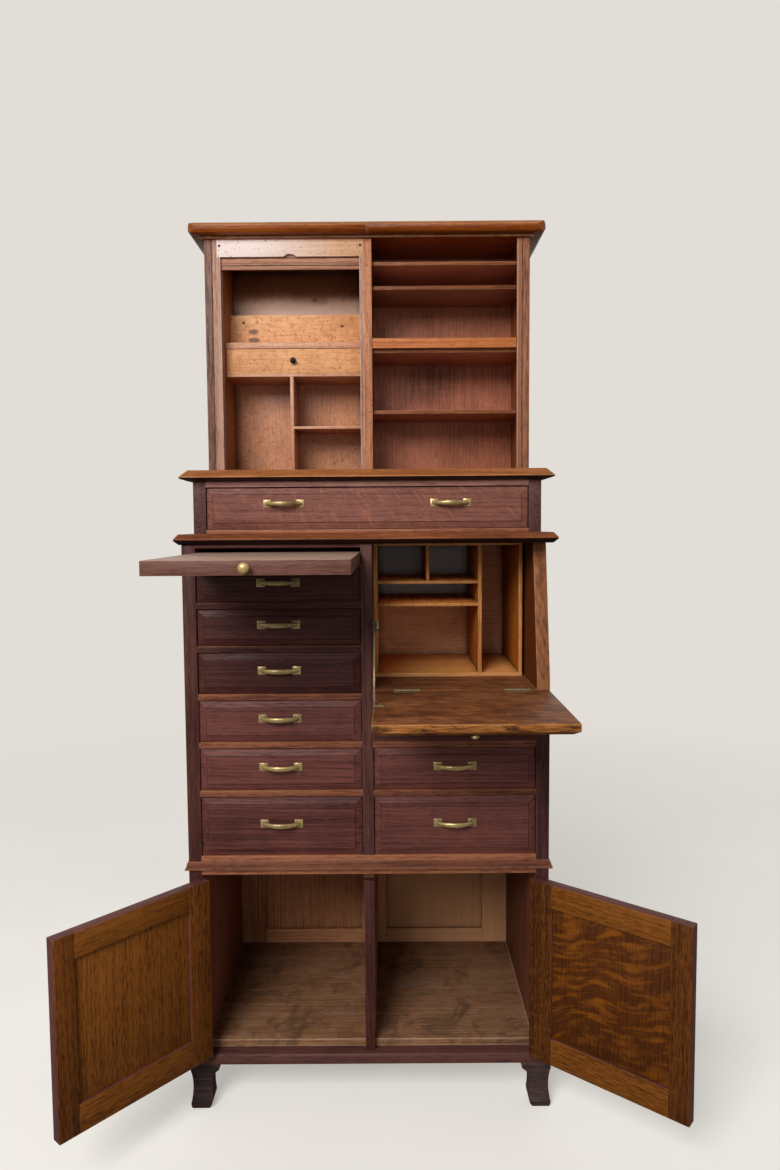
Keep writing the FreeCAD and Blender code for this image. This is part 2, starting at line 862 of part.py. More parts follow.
hinge_gap = 2 * hinge_leaf + hinge_leaf_play
door_axis_x = inner - hinge_gap / 2
door_axis_y = front - barrel_radius - barrel_gap
door_edge = inner - hinge_gap
door_meeting = cupboard_divider / 2 + door_meeting_gap


def swung_right(solids):
    """Solids of the right door turned from shut to its open rest place."""
    for solid in solids:
        solid.rotate(V(door_axis_x, door_axis_y, 0), V(0, 0, 1), right_door_open)
    return solids


def swung_left(solids):
    """Solids drawn as for the right door, mirrored and opened as the left one."""
    for solid in solids:
        solid.rotate(V(door_axis_x, door_axis_y, 0), V(0, 0, 1), left_door_open)
    return [mirrored(solid) for solid in solids]


def door_frame():
    """Stiles and rails of the right door when shut."""
    x = (door_meeting, door_edge)
    y = (front, front + door_thickness)
    z = (door_bottom, door_top)
    between = (x[0] + meeting_stile, x[1] - hinge_stile)
    return [board((x[0], between[0]), y, z), board((between[1], x[1]), y, z),
            board(between, y, (z[0], z[0] + door_bottom_rail)),
            board(between, y, (z[1] - door_top_rail, z[1]))]


def door_panel_board():
    """The panel of the right door when shut, fielded on its outer face."""
    x = (door_meeting + meeting_stile, door_edge - hinge_stile)
    z = (door_bottom + door_bottom_rail, door_top - door_top_rail)
    inside = front + door_thickness - door_panel_recess
    return [fielded(x, (inside - door_panel, inside), z, door_panel_border, door_panel_bevel)]


def door_hinge_bottoms():
    """Lower ends of the two hinges on a door."""
    middles = (door_bottom + door_hinge_inset, door_top - door_hinge_inset)
    return [middle - door_hinge_length / 2 for middle in middles]


def door_leaf_solids(on_case):
    """The hinge leaves on the case side, or those on the shut right door's edge."""
    leaves = []
    x = (inner - hinge_leaf, inner) if on_case else (door_edge, door_edge + hinge_leaf)
    for z in door_hinge_bottoms():
        axis = V(door_axis_x, door_axis_y, z)
        root = front - barrel_gap / 2
        parts = [board(x, (root, root + hinge_leaf_width), (z, z + door_hinge_length))]
        for low, high in knuckle_spans(door_hinge_length, 0 if on_case else 1):
            parts.append(board(x, (door_axis_y, root), (z + low, z + high)))
            parts.append(Part.makeCylinder(barrel_radius, high - low, axis + V(0, 0, low)))
        bore = pin_radius if on_case else pin_radius + pin_play
        leaves.append(joined(*parts).cut(Part.makeCylinder(bore, door_hinge_length, axis)))
    return leaves


def case_hinges():
    """The hinge leaves on both case sides, with their pins."""
    pins = [Part.makeCylinder(pin_radius, door_hinge_length, V(door_axis_x, door_axis_y, z))
            for z in door_hinge_bottoms()]
    right = door_leaf_solids(True) + pins
    return right + [mirrored(solid) for solid in right]


def right_door_knob():
    """A brass knob on the right door's outer face, on its meeting stile."""
    base = V(door_meeting + meeting_stile / 2, front, (door_bottom + door_top) / 2)
    return [turned(small_knob_radius, small_knob_length, base, V(0, -1, 0))]


false_back_front = thin_rear - false_back_gap - slat_thickness - canvas - false_back
ceiling_bottom = upper_top - ceiling_drop
ceiling_top = ceiling_bottom + ceiling_board


def bay_linings():
    """The linings, ceiling and false back that part the bay from the tambour's stored run."""
    y = (track_back + track_strip, false_back_front + false_back)
    z = (bay_floor, ceiling_top)
    left = board((-upper_inner, bay_walls[0]), y, z)
    right = board((bay_walls[1], bay_right), y, z)
    behind = board(bay_walls, (false_back_front, y[1]), z)
    ceiling = board(bay_walls, (y[0], false_back_front), (ceiling_bottom, ceiling_top))
    return [left, right, behind, ceiling]


bay_shelf_top = bay_floor + bay_shelf_height
bay_shelf_bottom = bay_shelf_top - bay_shelf
inner_bottom = bay_shelf_bottom - inner_opening


def bay_partitions():
    """The bay's shelf, letter board, drawer bearer, upright and small shelf."""
    y = (fittings_front, false_back_front)
    upright = (bay_walls[0] + bay_upright_offset, bay_walls[0] + bay_upright_offset + shelf_board)
    letter_front = fittings_front + letter_board_setback
    bearer = (inner_bottom - bearer_board, inner_bottom)
    small = bay_floor + small_shelf_height
    return [
        board(bay_walls, y, (bay_shelf_bottom, bay_shelf_top)),
        board(bay_walls, (letter_front, letter_front + shelf_board),
              (bay_shelf_top, bay_shelf_top + letter_board_height)),
        board(bay_walls, y, bearer),
        board(upright, y, (bay_floor, bearer[0])),
        board((upright[1], bay_walls[1]), y, (small - bearer_board, small))]


def inner_drawer():
    """The small plain drawer of the bay."""
    x = (bay_walls[0] + side_play, bay_walls[1] - side_play)
    z = (inner_bottom + run_play, bay_shelf_bottom - head_play)
    y = (fittings_front, false_back_front - drawer_end_space)
    return tray_boards(x, y, z, drawer_side, tray_wall, drawer_bottom, run_play, z[1] - drawer_bottom)


def inner_drawer_knob():
    """The small dark knob of the inner drawer."""
    base = V(bay_middle, fittings_front, inner_bottom + inner_opening / 2)
    return [turned(small_knob_radius, inner_knob_length, base, V(0, -1, 0))]


def tambour_frame():
    """The head rail with its finger notch, and the strips that hold the slats' ends."""
    low = upper_top - head_rail_height
    y = (upper_front, track_front)
    x = (-upper_inner + face_strip_width, bay_right)
    notch = (bay_middle - notch_width / 2, bay_middle + notch_width / 2)
    head = along_y(y, (x[0], low), (notch[0], low), ((bay_middle, low + notch_depth), (notch[1], low)),
                   (x[1], low), (x[1], upper_top), (x[0], upper_top), (x[0], low))
    strips = [head]
    for edge in (x[0], x[1] - track_width):
        strips.append(board((edge, edge + track_width), y, (bay_floor, low)))
    back_strip = (track_back, track_back + track_strip)
    strips.append(board((-upper_inner, bay_walls[0]), back_strip, (bay_floor, ceiling_top)))
    strips.append(board((bay_walls[1], bay_right), back_strip, (bay_floor, ceiling_top)))
    return strips


slat_span = (-upper_inner + track_play, bay_right - track_play)
slat_front = track_front + track_play
canvas_front = slat_front + slat_thickness


def curtain_path():
    """The stored run of the canvas: its top and rear lines, and the lengths of rise, run and bend."""
    top = upper_top - curtain_top_gap - slat_thickness
    rear_line = thin_rear - slat_thickness - curtain_rear_gap
    rise = top - curtain_bend - (lead_bottom + lead_rail_height)
    run = rear_line - canvas_front - 2 * curtain_bend
    bend = math.pi / 2 * curtain_bend
    return top, rear_line, rise, run, bend


def slat_place(travelled):
    """Where a slat's middle lies on the canvas, and how far it has turned, at a length along the run."""
    top, rear_line, rise, run, bend = curtain_path()
    start = lead_bottom + lead_rail_height
    if travelled < rise:
        return canvas_front, start + travelled, 0.0
    travelled -= rise
    if travelled < bend:
        turn = travelled / curtain_bend
        return (canvas_front + curtain_bend * (1 - math.cos(turn)),
                top - curtain_bend + curtain_bend * math.sin(turn), math.degrees(turn))
    travelled -= bend
    if travelled < run:
        return canvas_front + curtain_bend + travelled, top, 90.0
    travelled -= run
    if travelled < bend:
        turn = travelled / curtain_bend
        return (rear_line - curtain_bend + curtain_bend * math.sin(turn),
                top - curtain_bend + curtain_bend * math.cos(turn), 90.0 + math.degrees(turn))
    return rear_line, top - curtain_bend - (travelled - bend), 180.0


def tambour_curtain():
    """The slats on their canvas, stored over the ceiling and behind the false back."""
    top, rear_line, rise, run, bend = curtain_path()
    height = slat_pitch - slat_gap
    slats = []
    for i in range(slat_count):
        y, z, turn = slat_place((i + 0.5) * slat_pitch)
        near = y - canvas_play
        slat = board(slat_span, (near - slat_thickness, near), (z - height / 2, z + height / 2))
        slat.rotate(V(0, y, z), V(1, 0, 0), -turn)
        slats.append(slat)
    start = lead_bottom + lead_rail_height
    tail = top - curtain_bend - (slat_count * slat_pitch - rise - run - 2 * bend)
    outer = curtain_bend
    tight = curtain_bend - canvas
    cut = math.sqrt(0.5)
    corner = top - curtain_bend
    near, far = canvas_front + curtain_bend, rear_line - curtain_bend
    cloth = along_x(
        slat_span, (near - outer, start), (near - outer, corner),
        ((near - outer * cut, corner + outer * cut), (near, top)), (far, top),
        ((far + outer * cut, corner + outer * cut), (far + outer, corner)), (far + outer, tail),
        (far + tight, tail), (far + tight, corner),
        ((far + tight * cut, corner + tight * cut), (far, corner + tight)), (near, corner + tight),
        ((near - tight * cut, corner + tight * cut), (near - tight, corner)), (near - tight, start),
        (near - outer, start))
    return slats + [cloth]


def tambour_lead_rail():
    """The bottom rail of the tambour."""
    return [board(slat_span, (slat_front, slat_front + slat_thickness + canvas),
                  (lead_bottom, lead_bottom + lead_rail_height))]


pieces = {
    "feet": feet(),
    "plinth_frame": plinth_frame(),
    "lower_sides": lower_sides(),
    "cupboard_floor": cupboard_floor(),
    "cupboard_divider": cupboard_upright(),
    "mid_rail": mid_rail(),
    "column_divider": column_upright(),
    "drawer_rails": drawer_rails(),
    "desk_bed": desk_bed(),
    "desk_hinges_and_guide": bed_hinges() + stay_guide(),
    "desk_pigeonholes": desk_pigeonholes(),
    "lower_back": lower_back(),
    "lower_top": lower_top(),
    "waist_case": waist_case(),
    "waist_top": waist_board(),
    "upper_sides": upper_sides(),
    "upper_divider": upper_post_board(),
    "upper_back": upper_back(),
    "cornice": cornice(),
    "right_shelves": right_shelves(),
    "bay_linings": bay_linings(),
    "bay_partitions": bay_partitions(),
    "tambour_frame": tambour_frame(),
    "tambour_curtain": tambour_curtain(),
    "tambour_lead_rail": tambour_lead_rail(),
    "case_hinges": case_hinges(),
    "shelf_tray": shelf_tray(),
    "inner_drawer": inner_drawer(),
    "inner_drawer_knob": inner_drawer_knob(),
    "writing_slide": writing_slide(),
    "writing_slide_knob": writing_slide_knob(),
    "flap": flap(),
    "flap_hinges": flap_leaf_solids(-1),
    "flap_stay": flap_stay(),
    "flap_knob": flap_knob(),
    "left_door_frame": swung_left(door_frame()),
    "left_door_panel": swung_left(door_panel_board()),
    "left_door_hinges": swung_left(door_leaf_solids(False)),
    "right_door_frame": swung_right(door_frame()),
    "right_door_panel": swung_right(door_panel_board()),
    "right_door_hinges": swung_right(door_leaf_solids(False)),
    "right_door_knob": swung_right(right_door_knob()),
}

# Drawers, numbered from the top of each column
for columns, label in ((left_columns, "left"), (right_columns, "right")):
    count = len(left_openings) if label == "left" else right_drawers
    for i in range(count):
        number = count - i
        pieces[f"{label}_drawer_{number}"] = drawer(columns, front, left_bottoms[i], left_openings[i], rear)
        height = left_bottoms[i] + left_openings[i] / 2 + pull_lift
        pieces[f"{label}_pull_{number}"] = [bow_pull(middle_of(columns), front, height)]

waist_span = (-inner, inner)
waist_pull_height = waist_floor + waist_opening / 2 + waist_pull_lift
pieces["waist_drawer"] = drawer(waist_span, waist_front, waist_floor, waist_opening, thin_rear)
pieces["waist_pulls"] = [bow_pull(side * waist_pull_spacing / 2, waist_front, waist_pull_height)
                         for side in (-1, 1)]

os.makedirs("parts", exist_ok=True)
for name, solids in pieces.items():
    Part.makeCompound(solids).exportStep(f"parts/{name}.step")
    bad = [s for s in solids if not s.isValid() or len(s.Solids) != 1]
    if bad:
        print(name, "has", len(bad), "unsound solids")
print(len(pieces), "nodes,", sum(len(s) for s in pieces.values()), "solids")
print("flap", round(flap_length, 1), "long, shuts through", round(flap_travel, 1), "degrees")
print("height", round(upper_top + cornice_thickness, 1), "tambour travel", round(tambour_travel, 1))
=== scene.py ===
import contextlib
import json
import math
import random

import bmesh
import bpy
import numpy as np
from mathutils import Matrix, Vector

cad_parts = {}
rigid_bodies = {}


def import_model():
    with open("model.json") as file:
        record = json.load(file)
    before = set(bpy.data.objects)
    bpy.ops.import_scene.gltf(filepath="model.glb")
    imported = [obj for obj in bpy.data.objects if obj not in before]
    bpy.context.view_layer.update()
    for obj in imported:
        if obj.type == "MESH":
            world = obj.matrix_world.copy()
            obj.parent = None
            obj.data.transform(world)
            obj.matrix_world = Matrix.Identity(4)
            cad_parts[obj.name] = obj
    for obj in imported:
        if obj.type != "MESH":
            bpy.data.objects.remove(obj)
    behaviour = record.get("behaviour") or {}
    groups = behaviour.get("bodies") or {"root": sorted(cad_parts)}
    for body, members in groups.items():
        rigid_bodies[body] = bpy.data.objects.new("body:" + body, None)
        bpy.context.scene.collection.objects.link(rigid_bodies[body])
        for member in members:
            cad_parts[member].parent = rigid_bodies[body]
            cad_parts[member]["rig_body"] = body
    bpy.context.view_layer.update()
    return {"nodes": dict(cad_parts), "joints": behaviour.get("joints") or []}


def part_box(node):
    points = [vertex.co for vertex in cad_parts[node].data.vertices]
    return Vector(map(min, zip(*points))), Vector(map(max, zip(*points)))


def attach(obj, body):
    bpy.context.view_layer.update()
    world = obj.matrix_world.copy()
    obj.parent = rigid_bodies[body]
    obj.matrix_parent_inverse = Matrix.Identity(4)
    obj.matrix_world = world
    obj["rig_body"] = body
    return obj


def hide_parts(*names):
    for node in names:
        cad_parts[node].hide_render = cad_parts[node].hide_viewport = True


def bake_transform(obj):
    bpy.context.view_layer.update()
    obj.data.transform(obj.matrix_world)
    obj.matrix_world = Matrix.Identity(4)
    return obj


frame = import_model()


# Feet
# Four ogee bracket feet, band-sawn from thick oak and stained almost black.
# They are glued under the corners of the plinth, and their toes are scuffed.
def tint(red, green, blue):
    """A colour written as it is seen, 0 to 255, in the shader's own scale."""
    seen = [c / 255 for c in (red, green, blue)]
    return [c / 12.92 if c <= 0.04045 else ((c + 0.055) / 1.055) ** 2.4 for c in seen] + [1.0]


def feed(tree, socket, value):
    """Feed a socket from another socket, or with a value."""
    if isinstance(value, bpy.types.NodeSocket):
        tree.links.new(value, socket)
    else:
        socket.default_value = value


def node_in(tree, kind, inputs=None, **settings):
    """Add a node, set its options, and feed its sockets."""
    node = tree.nodes.new(kind)
    for name, value in settings.items():
        setattr(node, name, value)
    for name, value in (inputs or {}).items():
        feed(tree, node.inputs[name], value)
    return node


def sums(tree, operation, first, second=0.0, third=0.0):
    """The result of one arithmetic node."""
    inputs = {0: first, 1: second, 2: third}
    return node_in(tree, "ShaderNodeMath", inputs, operation=operation).outputs[0]


def weighed(tree, *terms, start=0.0):
    """The sum of some values, each times its weight."""
    for value, weight in terms:
        start = sums(tree, "MULTIPLY_ADD", value, weight, start)
    return start


def spread(tree, value, low, high, to_low=0.0, to_high=1.0):
    """A value's stretch from low to high laid over another stretch, and held at its ends."""
    inputs = {"Value": value, "From Min": low, "From Max": high, "To Min": to_low, "To Max": to_high}
    return node_in(tree, "ShaderNodeMapRange", inputs, clamp=True).outputs[0]


def mixed(tree, share, first, second):
    """Two colours mixed by a share; a tuple is a colour as it is seen."""
    node = node_in(tree, "ShaderNodeMix", {0: share}, data_type="RGBA")
    for index, colour in ((6, first), (7, second)):
        feed(tree, node.inputs[index], tint(*colour) if isinstance(colour, tuple) else colour)
    return node.outputs[2]


def vectors(tree, operation, first, second=(0, 0, 0)):
    """The result of one vector node, which is a number for a length or a dot product."""
    node = node_in(tree, "ShaderNodeVectorMath", {0: first, 1: second}, operation=operation)
    return node.outputs["Value" if operation in ("LENGTH", "DOT_PRODUCT") else "Vector"]


def own_place(tree):
    """The place on a piece, in the piece's own frame."""
    return node_in(tree, "ShaderNodeTexCoord").outputs["Object"]


def noise(tree, scale, detail=2.0, rough=0.5, distortion=0.0, place=None):
    """Soft noise over a piece; a tuple of scales stretches it along X, Y and Z."""
    if place is None:
        place = own_place(tree)
    if isinstance(scale, tuple):
        place = vectors(tree, "MULTIPLY", place, scale)
        scale = 1.0
    inputs = {"Vector": place, "Scale": scale, "Detail": detail, "Roughness": rough,
              "Distortion": distortion}
    return node_in(tree, "ShaderNodeTexNoise", inputs).outputs[0]


def titled(name):
    """A socket's label for the name of a value."""
    return name.replace("_", " ").title()


def effect(**inputs):
    """Make a shader group of a function that gives its masks by name; inputs come with their defaults."""
    def made(build):
        group = bpy.data.node_groups.new(build.__name__, "ShaderNodeTree")
        for name, value in inputs.items():
            kind = "NodeSocketVector" if isinstance(value, tuple) else "NodeSocketFloat"
            group.interface.new_socket(titled(name), in_out="INPUT", socket_type=kind).default_value = value
        masks = build(group, group.nodes.new("NodeGroupInput").outputs)
        for name in masks:
            group.interface.new_socket(name, in_out="OUTPUT", socket_type="NodeSocketFloat")
        ends = group.nodes.new("NodeGroupOutput").inputs
        for name, mask in masks.items():
            group.links.new(mask, ends[name])
        return group
    return made


@effect(ring_width=0.007, ray_share=0.5, ray_tilt=0.2, ray_scale=1.0, ray_across=13.0, dash_width=0.003)
def oak_figure(group, given):
    """The figure of oak on a board: rings, pores, rays, streaks, dashes, and the board's own tone."""
    grain = node_in(group, "ShaderNodeAttribute", attribute_name="grain").outputs["Vector"]
    tone = node_in(group, "ShaderNodeAttribute", attribute_name="tone").outputs["Fac"]
    along, across, through = node_in(group, "ShaderNodeSeparateXYZ", {0: grain}).outputs
    sway = noise(group, (1.6, 9, 9), detail=3, rough=0.45, place=grain)
    field = weighed(group, (across, 0.85), (through, 0.5), (sway, 0.05))
    saw = sums(group, "FRACT", sums(group, "DIVIDE", field, given["Ring Width"]))
    rings = sums(group, "POWER", saw, 2.2)
    pores = noise(group, (42, 950, 950), detail=1, place=grain)
    pores = spread(group, weighed(group, (rings, 0.1), start=pores), 0.6, 0.68)
    drift = noise(group, (5, 5, 5), place=grain)
    lean = weighed(group, (drift, 0.12), (across, given["Ray Tilt"]), start=-0.06)
    leaning = sums(group, "ADD", along, lean)
    ray_place = node_in(group, "ShaderNodeCombineXYZ", {0: leaning, 1: across, 2: through}).outputs[0]
    ray_size = node_in(group, "ShaderNodeCombineXYZ", {0: 120.0, 1: given["Ray Across"], 2: 60.0}).outputs[0]
    ray_place = vectors(group, "MULTIPLY", ray_place, ray_size)
    flake = noise(group, given["Ray Scale"], place=ray_place)
    edge = spread(group, given["Ray Share"], 0, 1, 0.75, 0.42)
    rays = spread(group, sums(group, "SUBTRACT", flake, edge), -0.03, 0.13)
    fine = sums(group, "DIVIDE", 1.0, given["Dash Width"])
    dashes = noise(group, fine, rough=0.55, place=vectors(group, "MULTIPLY", grain, (0.1, 1, 1)))
    dashes = spread(group, dashes, 0.36, 0.64)
    streaks = spread(group, noise(group, (3, 150, 150), detail=4, rough=0.6, place=grain), 0.28, 0.72)
    return {"Rings": rings, "Pores": pores, "Rays": rays, "Streaks": streaks, "Dashes": dashes, "Tone": tone}


@effect(reach=0.003, share=0.5)
def worn_edges(group, given):
    """Where hands and cloths have rubbed the arrises of a board, in patches."""
    rounded = node_in(group, "ShaderNodeBevel", {"Radius": given["Reach"]}, samples=4).outputs[0]
    flat = node_in(group, "ShaderNodeNewGeometry").outputs["Normal"]
    arris = spread(group, vectors(group, "DOT_PRODUCT", rounded, flat), 0.995, 0.86)
    patch = spread(group, noise(group, 26, detail=5, rough=0.7), 0.3, 0.7)
    start = sums(group, "SUBTRACT", 1.0, given["Share"])
    kept = spread(group, patch, sums(group, "SUBTRACT", start, 0.25), sums(group, "ADD", start, 0.25))
    return {"Mask": sums(group, "MULTIPLY", arris, kept)}


@effect(reach=0.02, amount=0.6)
def settled_dirt(group, given):
    """Darkening in the sheltered corners of a piece: old wax and dust, and painted shade."""
    shelter = node_in(group, "ShaderNodeAmbientOcclusion", {"Distance": given["Reach"]}, samples=6,
                      only_local=True).outputs["AO"]
    patch = spread(group, noise(group, 17, detail=4, rough=0.65), 0.25, 0.65, 0.45, 1.0)
    depth = sums(group, "MULTIPLY", spread(group, shelter, 0.95, 0.35), patch)
    return {"Mask": sums(group, "MULTIPLY", depth, given["Amount"])}


@effect(size=4.0)
def patina(group, given):
    """Slow changes of an old finish: broad clouds, blotches and fine scratches."""
    clouds = noise(group, given["Size"], detail=3, rough=0.55)
    fine = sums(group, "MULTIPLY", given["Size"], 6.0)
    blotches = noise(group, fine, detail=5, rough=0.65, distortion=0.6)
    turned = {"Vector": own_place(group), "Rotation": (0.5, 0.35, 0.7), "Scale": (14, 420, 420)}
    turned = node_in(group, "ShaderNodeMapping", turned).outputs[0]
    scratches = noise(group, 1.0, detail=1, place=turned)
    return {"Clouds": spread(group, clouds, 0.3, 0.7), "Blotches": spread(group, blotches, 0.52, 0.72),
            "Scratches": spread(group, scratches, 0.67, 0.72)}


def placed(tree, group, **values):
    """One use of an effect group, with its own values."""
    node = node_in(tree, "ShaderNodeGroup", node_tree=group)
    for name, value in values.items():
        node.inputs[titled(name)].default_value = value
    return node.outputs


def new_finish(name):
    """A new material, its node tree, and the inputs of its shader."""
    material = bpy.data.materials.new(name)
    material.use_nodes = True
    return material, material.node_tree, material.node_tree.nodes["Principled BSDF"].inputs


def raised(tree, shader, height, strength, distance):
    """Feed a shader's normal from a height."""
    bump = node_in(tree, "ShaderNodeBump", {"Strength": strength, "Distance": distance, "Height": height})
    feed(tree, shader["Normal"], bump.outputs[0])


def oak(name, dark, middle, light, rubbed, ring_depth=0.14, dash=0.15, dash_width=0.003, streak=0.4,
        clouding=0.3, pore_depth=0.5, ray=None, ray_share=0.35, ray_depth=0.4, ray_tilt=0.2, ray_scale=1.0,
        ray_across=13.0, wear=0.5, wear_reach=0.003, dirt=0.6, rough=0.46, gloss=0.12, extra=None):
    """Stained oak: its figure, rubbed arrises, dirt and painted shade in the corners, and an uneven old
    finish.
    """
    material, tree, shader = new_finish(name)
    shader["Specular IOR Level"].default_value = gloss
    figure = placed(tree, oak_figure, ray_share=ray_share, ray_tilt=ray_tilt, ray_scale=ray_scale,
                    ray_across=ray_across, dash_width=dash_width)
    worn = placed(tree, worn_edges, reach=wear_reach, share=wear)["Mask"]
    dirt_and_shade_mask = placed(tree, settled_dirt, amount=dirt)["Mask"]
    old = placed(tree, patina)
    middle_stop, light_stop, contrast, tone_share = 0.42, 0.85, 1.35, 0.25
    blotch_depth, scratch_depth, ray_fade = 0.22, 0.3, 0.35
    body = weighed(tree, (figure["Rings"], -ring_depth), (figure["Streaks"], streak),
                   (figure["Dashes"], dash), (old["Clouds"], clouding), (figure["Tone"], tone_share))
    body = weighed(tree, (body, contrast), start=middle_stop * (1 - contrast))
    ramp = node_in(tree, "ShaderNodeValToRGB", {0: body})
    stops = ramp.color_ramp.elements
    stops[0].color, stops[1].color, stops[1].position = tint(*dark), tint(*light), light_stop
    stops.new(middle_stop).color = tint(*middle)
    shown = spread(tree, old["Clouds"], 0.1, 0.7, ray_fade * ray_depth, ray_depth)
    colour = mixed(tree, sums(tree, "MULTIPLY", figure["Rays"], shown), ramp.outputs[0], ray or light)
    colour = mixed(tree, sums(tree, "MULTIPLY", figure["Pores"], pore_depth), colour, dark)
    colour = mixed(tree, sums(tree, "MULTIPLY", old["Blotches"], blotch_depth), colour, dark)
    colour = mixed(tree, sums(tree, "MULTIPLY", old["Scratches"], scratch_depth), colour, light)
    if extra:
        colour = extra(tree, colour)
    colour = mixed(tree, worn, colour, rubbed)
    # Dark in sheltered corners, by ambient occlusion: old dirt and painted shade together.
    feed(tree, shader["Base Color"], mixed(tree, dirt_and_shade_mask, colour, (30, 18, 14)))
    dull = weighed(tree, (old["Clouds"], 0.14), (dirt_and_shade_mask, 0.3), (figure["Pores"], 0.1), start=rough - 0.07)
    feed(tree, shader["Roughness"], dull)
    height = weighed(tree, (figure["Streaks"], 0.35), (figure["Pores"], -1), (old["Scratches"], -0.5))
    raised(tree, shader, height, 0.35, 0.0004)
    return material


def alone(piece):
    """Select one piece and nothing else."""
    bpy.ops.object.select_all(action="DESELECT")
    piece.select_set(True)
    bpy.context.view_layer.objects.active = piece


@contextlib.contextmanager
def editing(piece):
    """Work on one piece in edit mode, with all of it selected."""
    alone(piece)
    bpy.ops.object.mode_set(mode="EDIT")
    bpy.ops.mesh.select_mode(type="FACE")
    bpy.ops.mesh.select_all(action="SELECT")
    yield
    bpy.ops.object.mode_set(mode="OBJECT")


def eased(piece, width, angle, clamped):
    """Round the edges of a piece that are sharper than an angle."""
    alone(piece)
    bevel = piece.modifiers.new("eased", "BEVEL")
    bevel.width, bevel.segments = width, 2
    bevel.limit_method, bevel.angle_limit = "ANGLE", math.radians(angle)
    bevel.use_clamp_overlap = clamped
    bpy.ops.object.modifier_apply(modifier="eased")


def smoothed(piece, angle):
    """Smooth the shading of a piece, apart from its edges that are sharper than an angle."""
    alone(piece)
    bpy.ops.object.shade_smooth_by_angle(angle=math.radians(angle))


def closed_boards(node):
    """The triangles of each closed board of a CAD node, as corner points."""
    mesh = frame["nodes"][node].data
    spots = [tuple(round(c, 6) for c in v.co) for v in mesh.vertices]
    open_sides, board = set(), []
    for face in mesh.polygons:
        corners = [spots[i] for i in face.vertices]
        if len(set(corners)) < 3:
            continue
        board.append(corners)
        for side in zip(corners, corners[1:] + corners[:1]):
            if side[::-1] in open_sides:
                open_sides.remove(side[::-1])
            else:
                open_sides.add(side)
        if not open_sides:
            yield board
            board = []


def board_marks(piece):
    """The number of the board that each face belongs to."""
    marks = np.zeros(len(piece.data.polygons), np.int32)
    piece.data.attributes["board"].data.foreach_get("value", marks)
    return marks.tolist()


def lay_grain(piece, along):
    """Give each board its own grain direction, place in the log, and tone."""
    mesh = piece.data
    spots = np.array([v.co for v in mesh.vertices])
    marks = board_marks(piece)
    grain, tone = np.zeros_like(spots), np.zeros(len(spots))
    log_length = 6
    for number in sorted(set(marks)):
        faces = [face for face in mesh.polygons if marks[face.index] == number]
        sides = [Vector(spots[b] - spots[a]) for face in faces for a, b in face.edge_keys]
        way = (Vector(along) if along else max(sides, key=lambda side: side.length)).normalized()
        if max(way, key=abs) < 0:
            way = -way
        normal = max(faces, key=lambda face: face.area).normal
        through = (normal - way * normal.dot(way)).normalized()
        axes = np.array([way, way.cross(through), through])
        draw = random.Random(f"{piece.name} {number}")
        log = [draw.uniform(0, log_length) for _ in range(3)]
        used = sorted({i for face in faces for i in face.vertices})
        grain[used] = spots[used] @ axes.T + log
        tone[used] = draw.random()
    mesh.attributes.new("grain", "FLOAT_VECTOR", "POINT").data.foreach_set("vector", grain.ravel())
    mesh.attributes.new("tone", "FLOAT", "POINT").data.foreach_set("value", tone)


def planed(node, finishes, choose=None, ease=0.0008, along=None, keep=None, shape=None, carve=None,
           smooth=32):
    """A node's boards kept apart, with eased arrises and grain along each; choose gives a face's finish.

    Work done on the piece before and after the easing is handed in as shape and carve.
    """
    points, faces, marks = [], [], []
    for number, board in enumerate(closed_boards(node)):
        if keep and not keep(number):
            continue
        index = {}
        for corners in board:
            for corner in corners:
                if corner not in index:
                    index[corner] = len(points)
                    points.append(corner)
            faces.append([index[corner] for corner in corners])
            marks.append(number)
    mesh = bpy.data.meshes.new(f"{node}_boards")
    mesh.from_pydata(points, [], faces)
    mesh.attributes.new("board", "INT", "FACE").data.foreach_set("value", marks)
    piece = bpy.data.objects.new(f"{node}_boards", mesh)
    bpy.context.collection.objects.link(piece)
    flat_angle, arris_angle = 0.6, 28
    with editing(piece):
        bpy.ops.mesh.dissolve_limited(angle_limit=math.radians(flat_angle))
    if shape:
        shape(piece)
    eased(piece, ease, arris_angle, False)
    if carve:
        carve(piece)
    smoothed(piece, smooth)
    lay_grain(piece, along)
    for finish in finishes:
        mesh.materials.append(finish)
    if choose:
        for face, number in zip(piece.data.polygons, board_marks(piece)):
            face.material_index = choose(number, face)
    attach(piece, frame["nodes"][node]["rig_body"])
    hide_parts(node)
    return piece


blackened_oak = oak("blackened_oak", (38, 29, 28), (64, 49, 48), (90, 70, 66), (124, 94, 80),
                    wear=0.45, rough=0.42)
planed("feet", [blackened_oak], ease=0.0012)


# Plinth frame
# Four mitre-edged oak members screwed under the lower case, stained a redder brown than the feet.
# The front member carries the chamfer that the doors pass over.
post_oak = oak("post_oak", (46, 25, 24), (79, 48, 44), (106, 67, 60), (146, 94, 78),
               ray_share=0.3, ray_depth=0.3)
planed("plinth_frame", [post_oak])


# Lower case sides
# Two oak sides of the full depth, the right one sawn to the slant of the desk. Outside they are stained
# dark, inside they are bare up to the desk. The slanted edge is rubbed by sleeves.
def own_axes(tree):
    """The place on a piece as its X, Y and Z."""
    return node_in(tree, "ShaderNodeSeparateXYZ", {0: own_place(tree)}).outputs


def shaded_along(axis, start, end, share, shade):
    """A touch for a finish: another shade, laid on from a start to an end along X, Y or Z."""
    def touch(tree, colour):
        return mixed(tree, spread(tree, own_axes(tree)[axis], start, end, 0, share), colour, shade)
    return touch


def looks(face, way):
    """Whether a face looks roughly one way."""
    return face.normal.dot(way) > 0.7


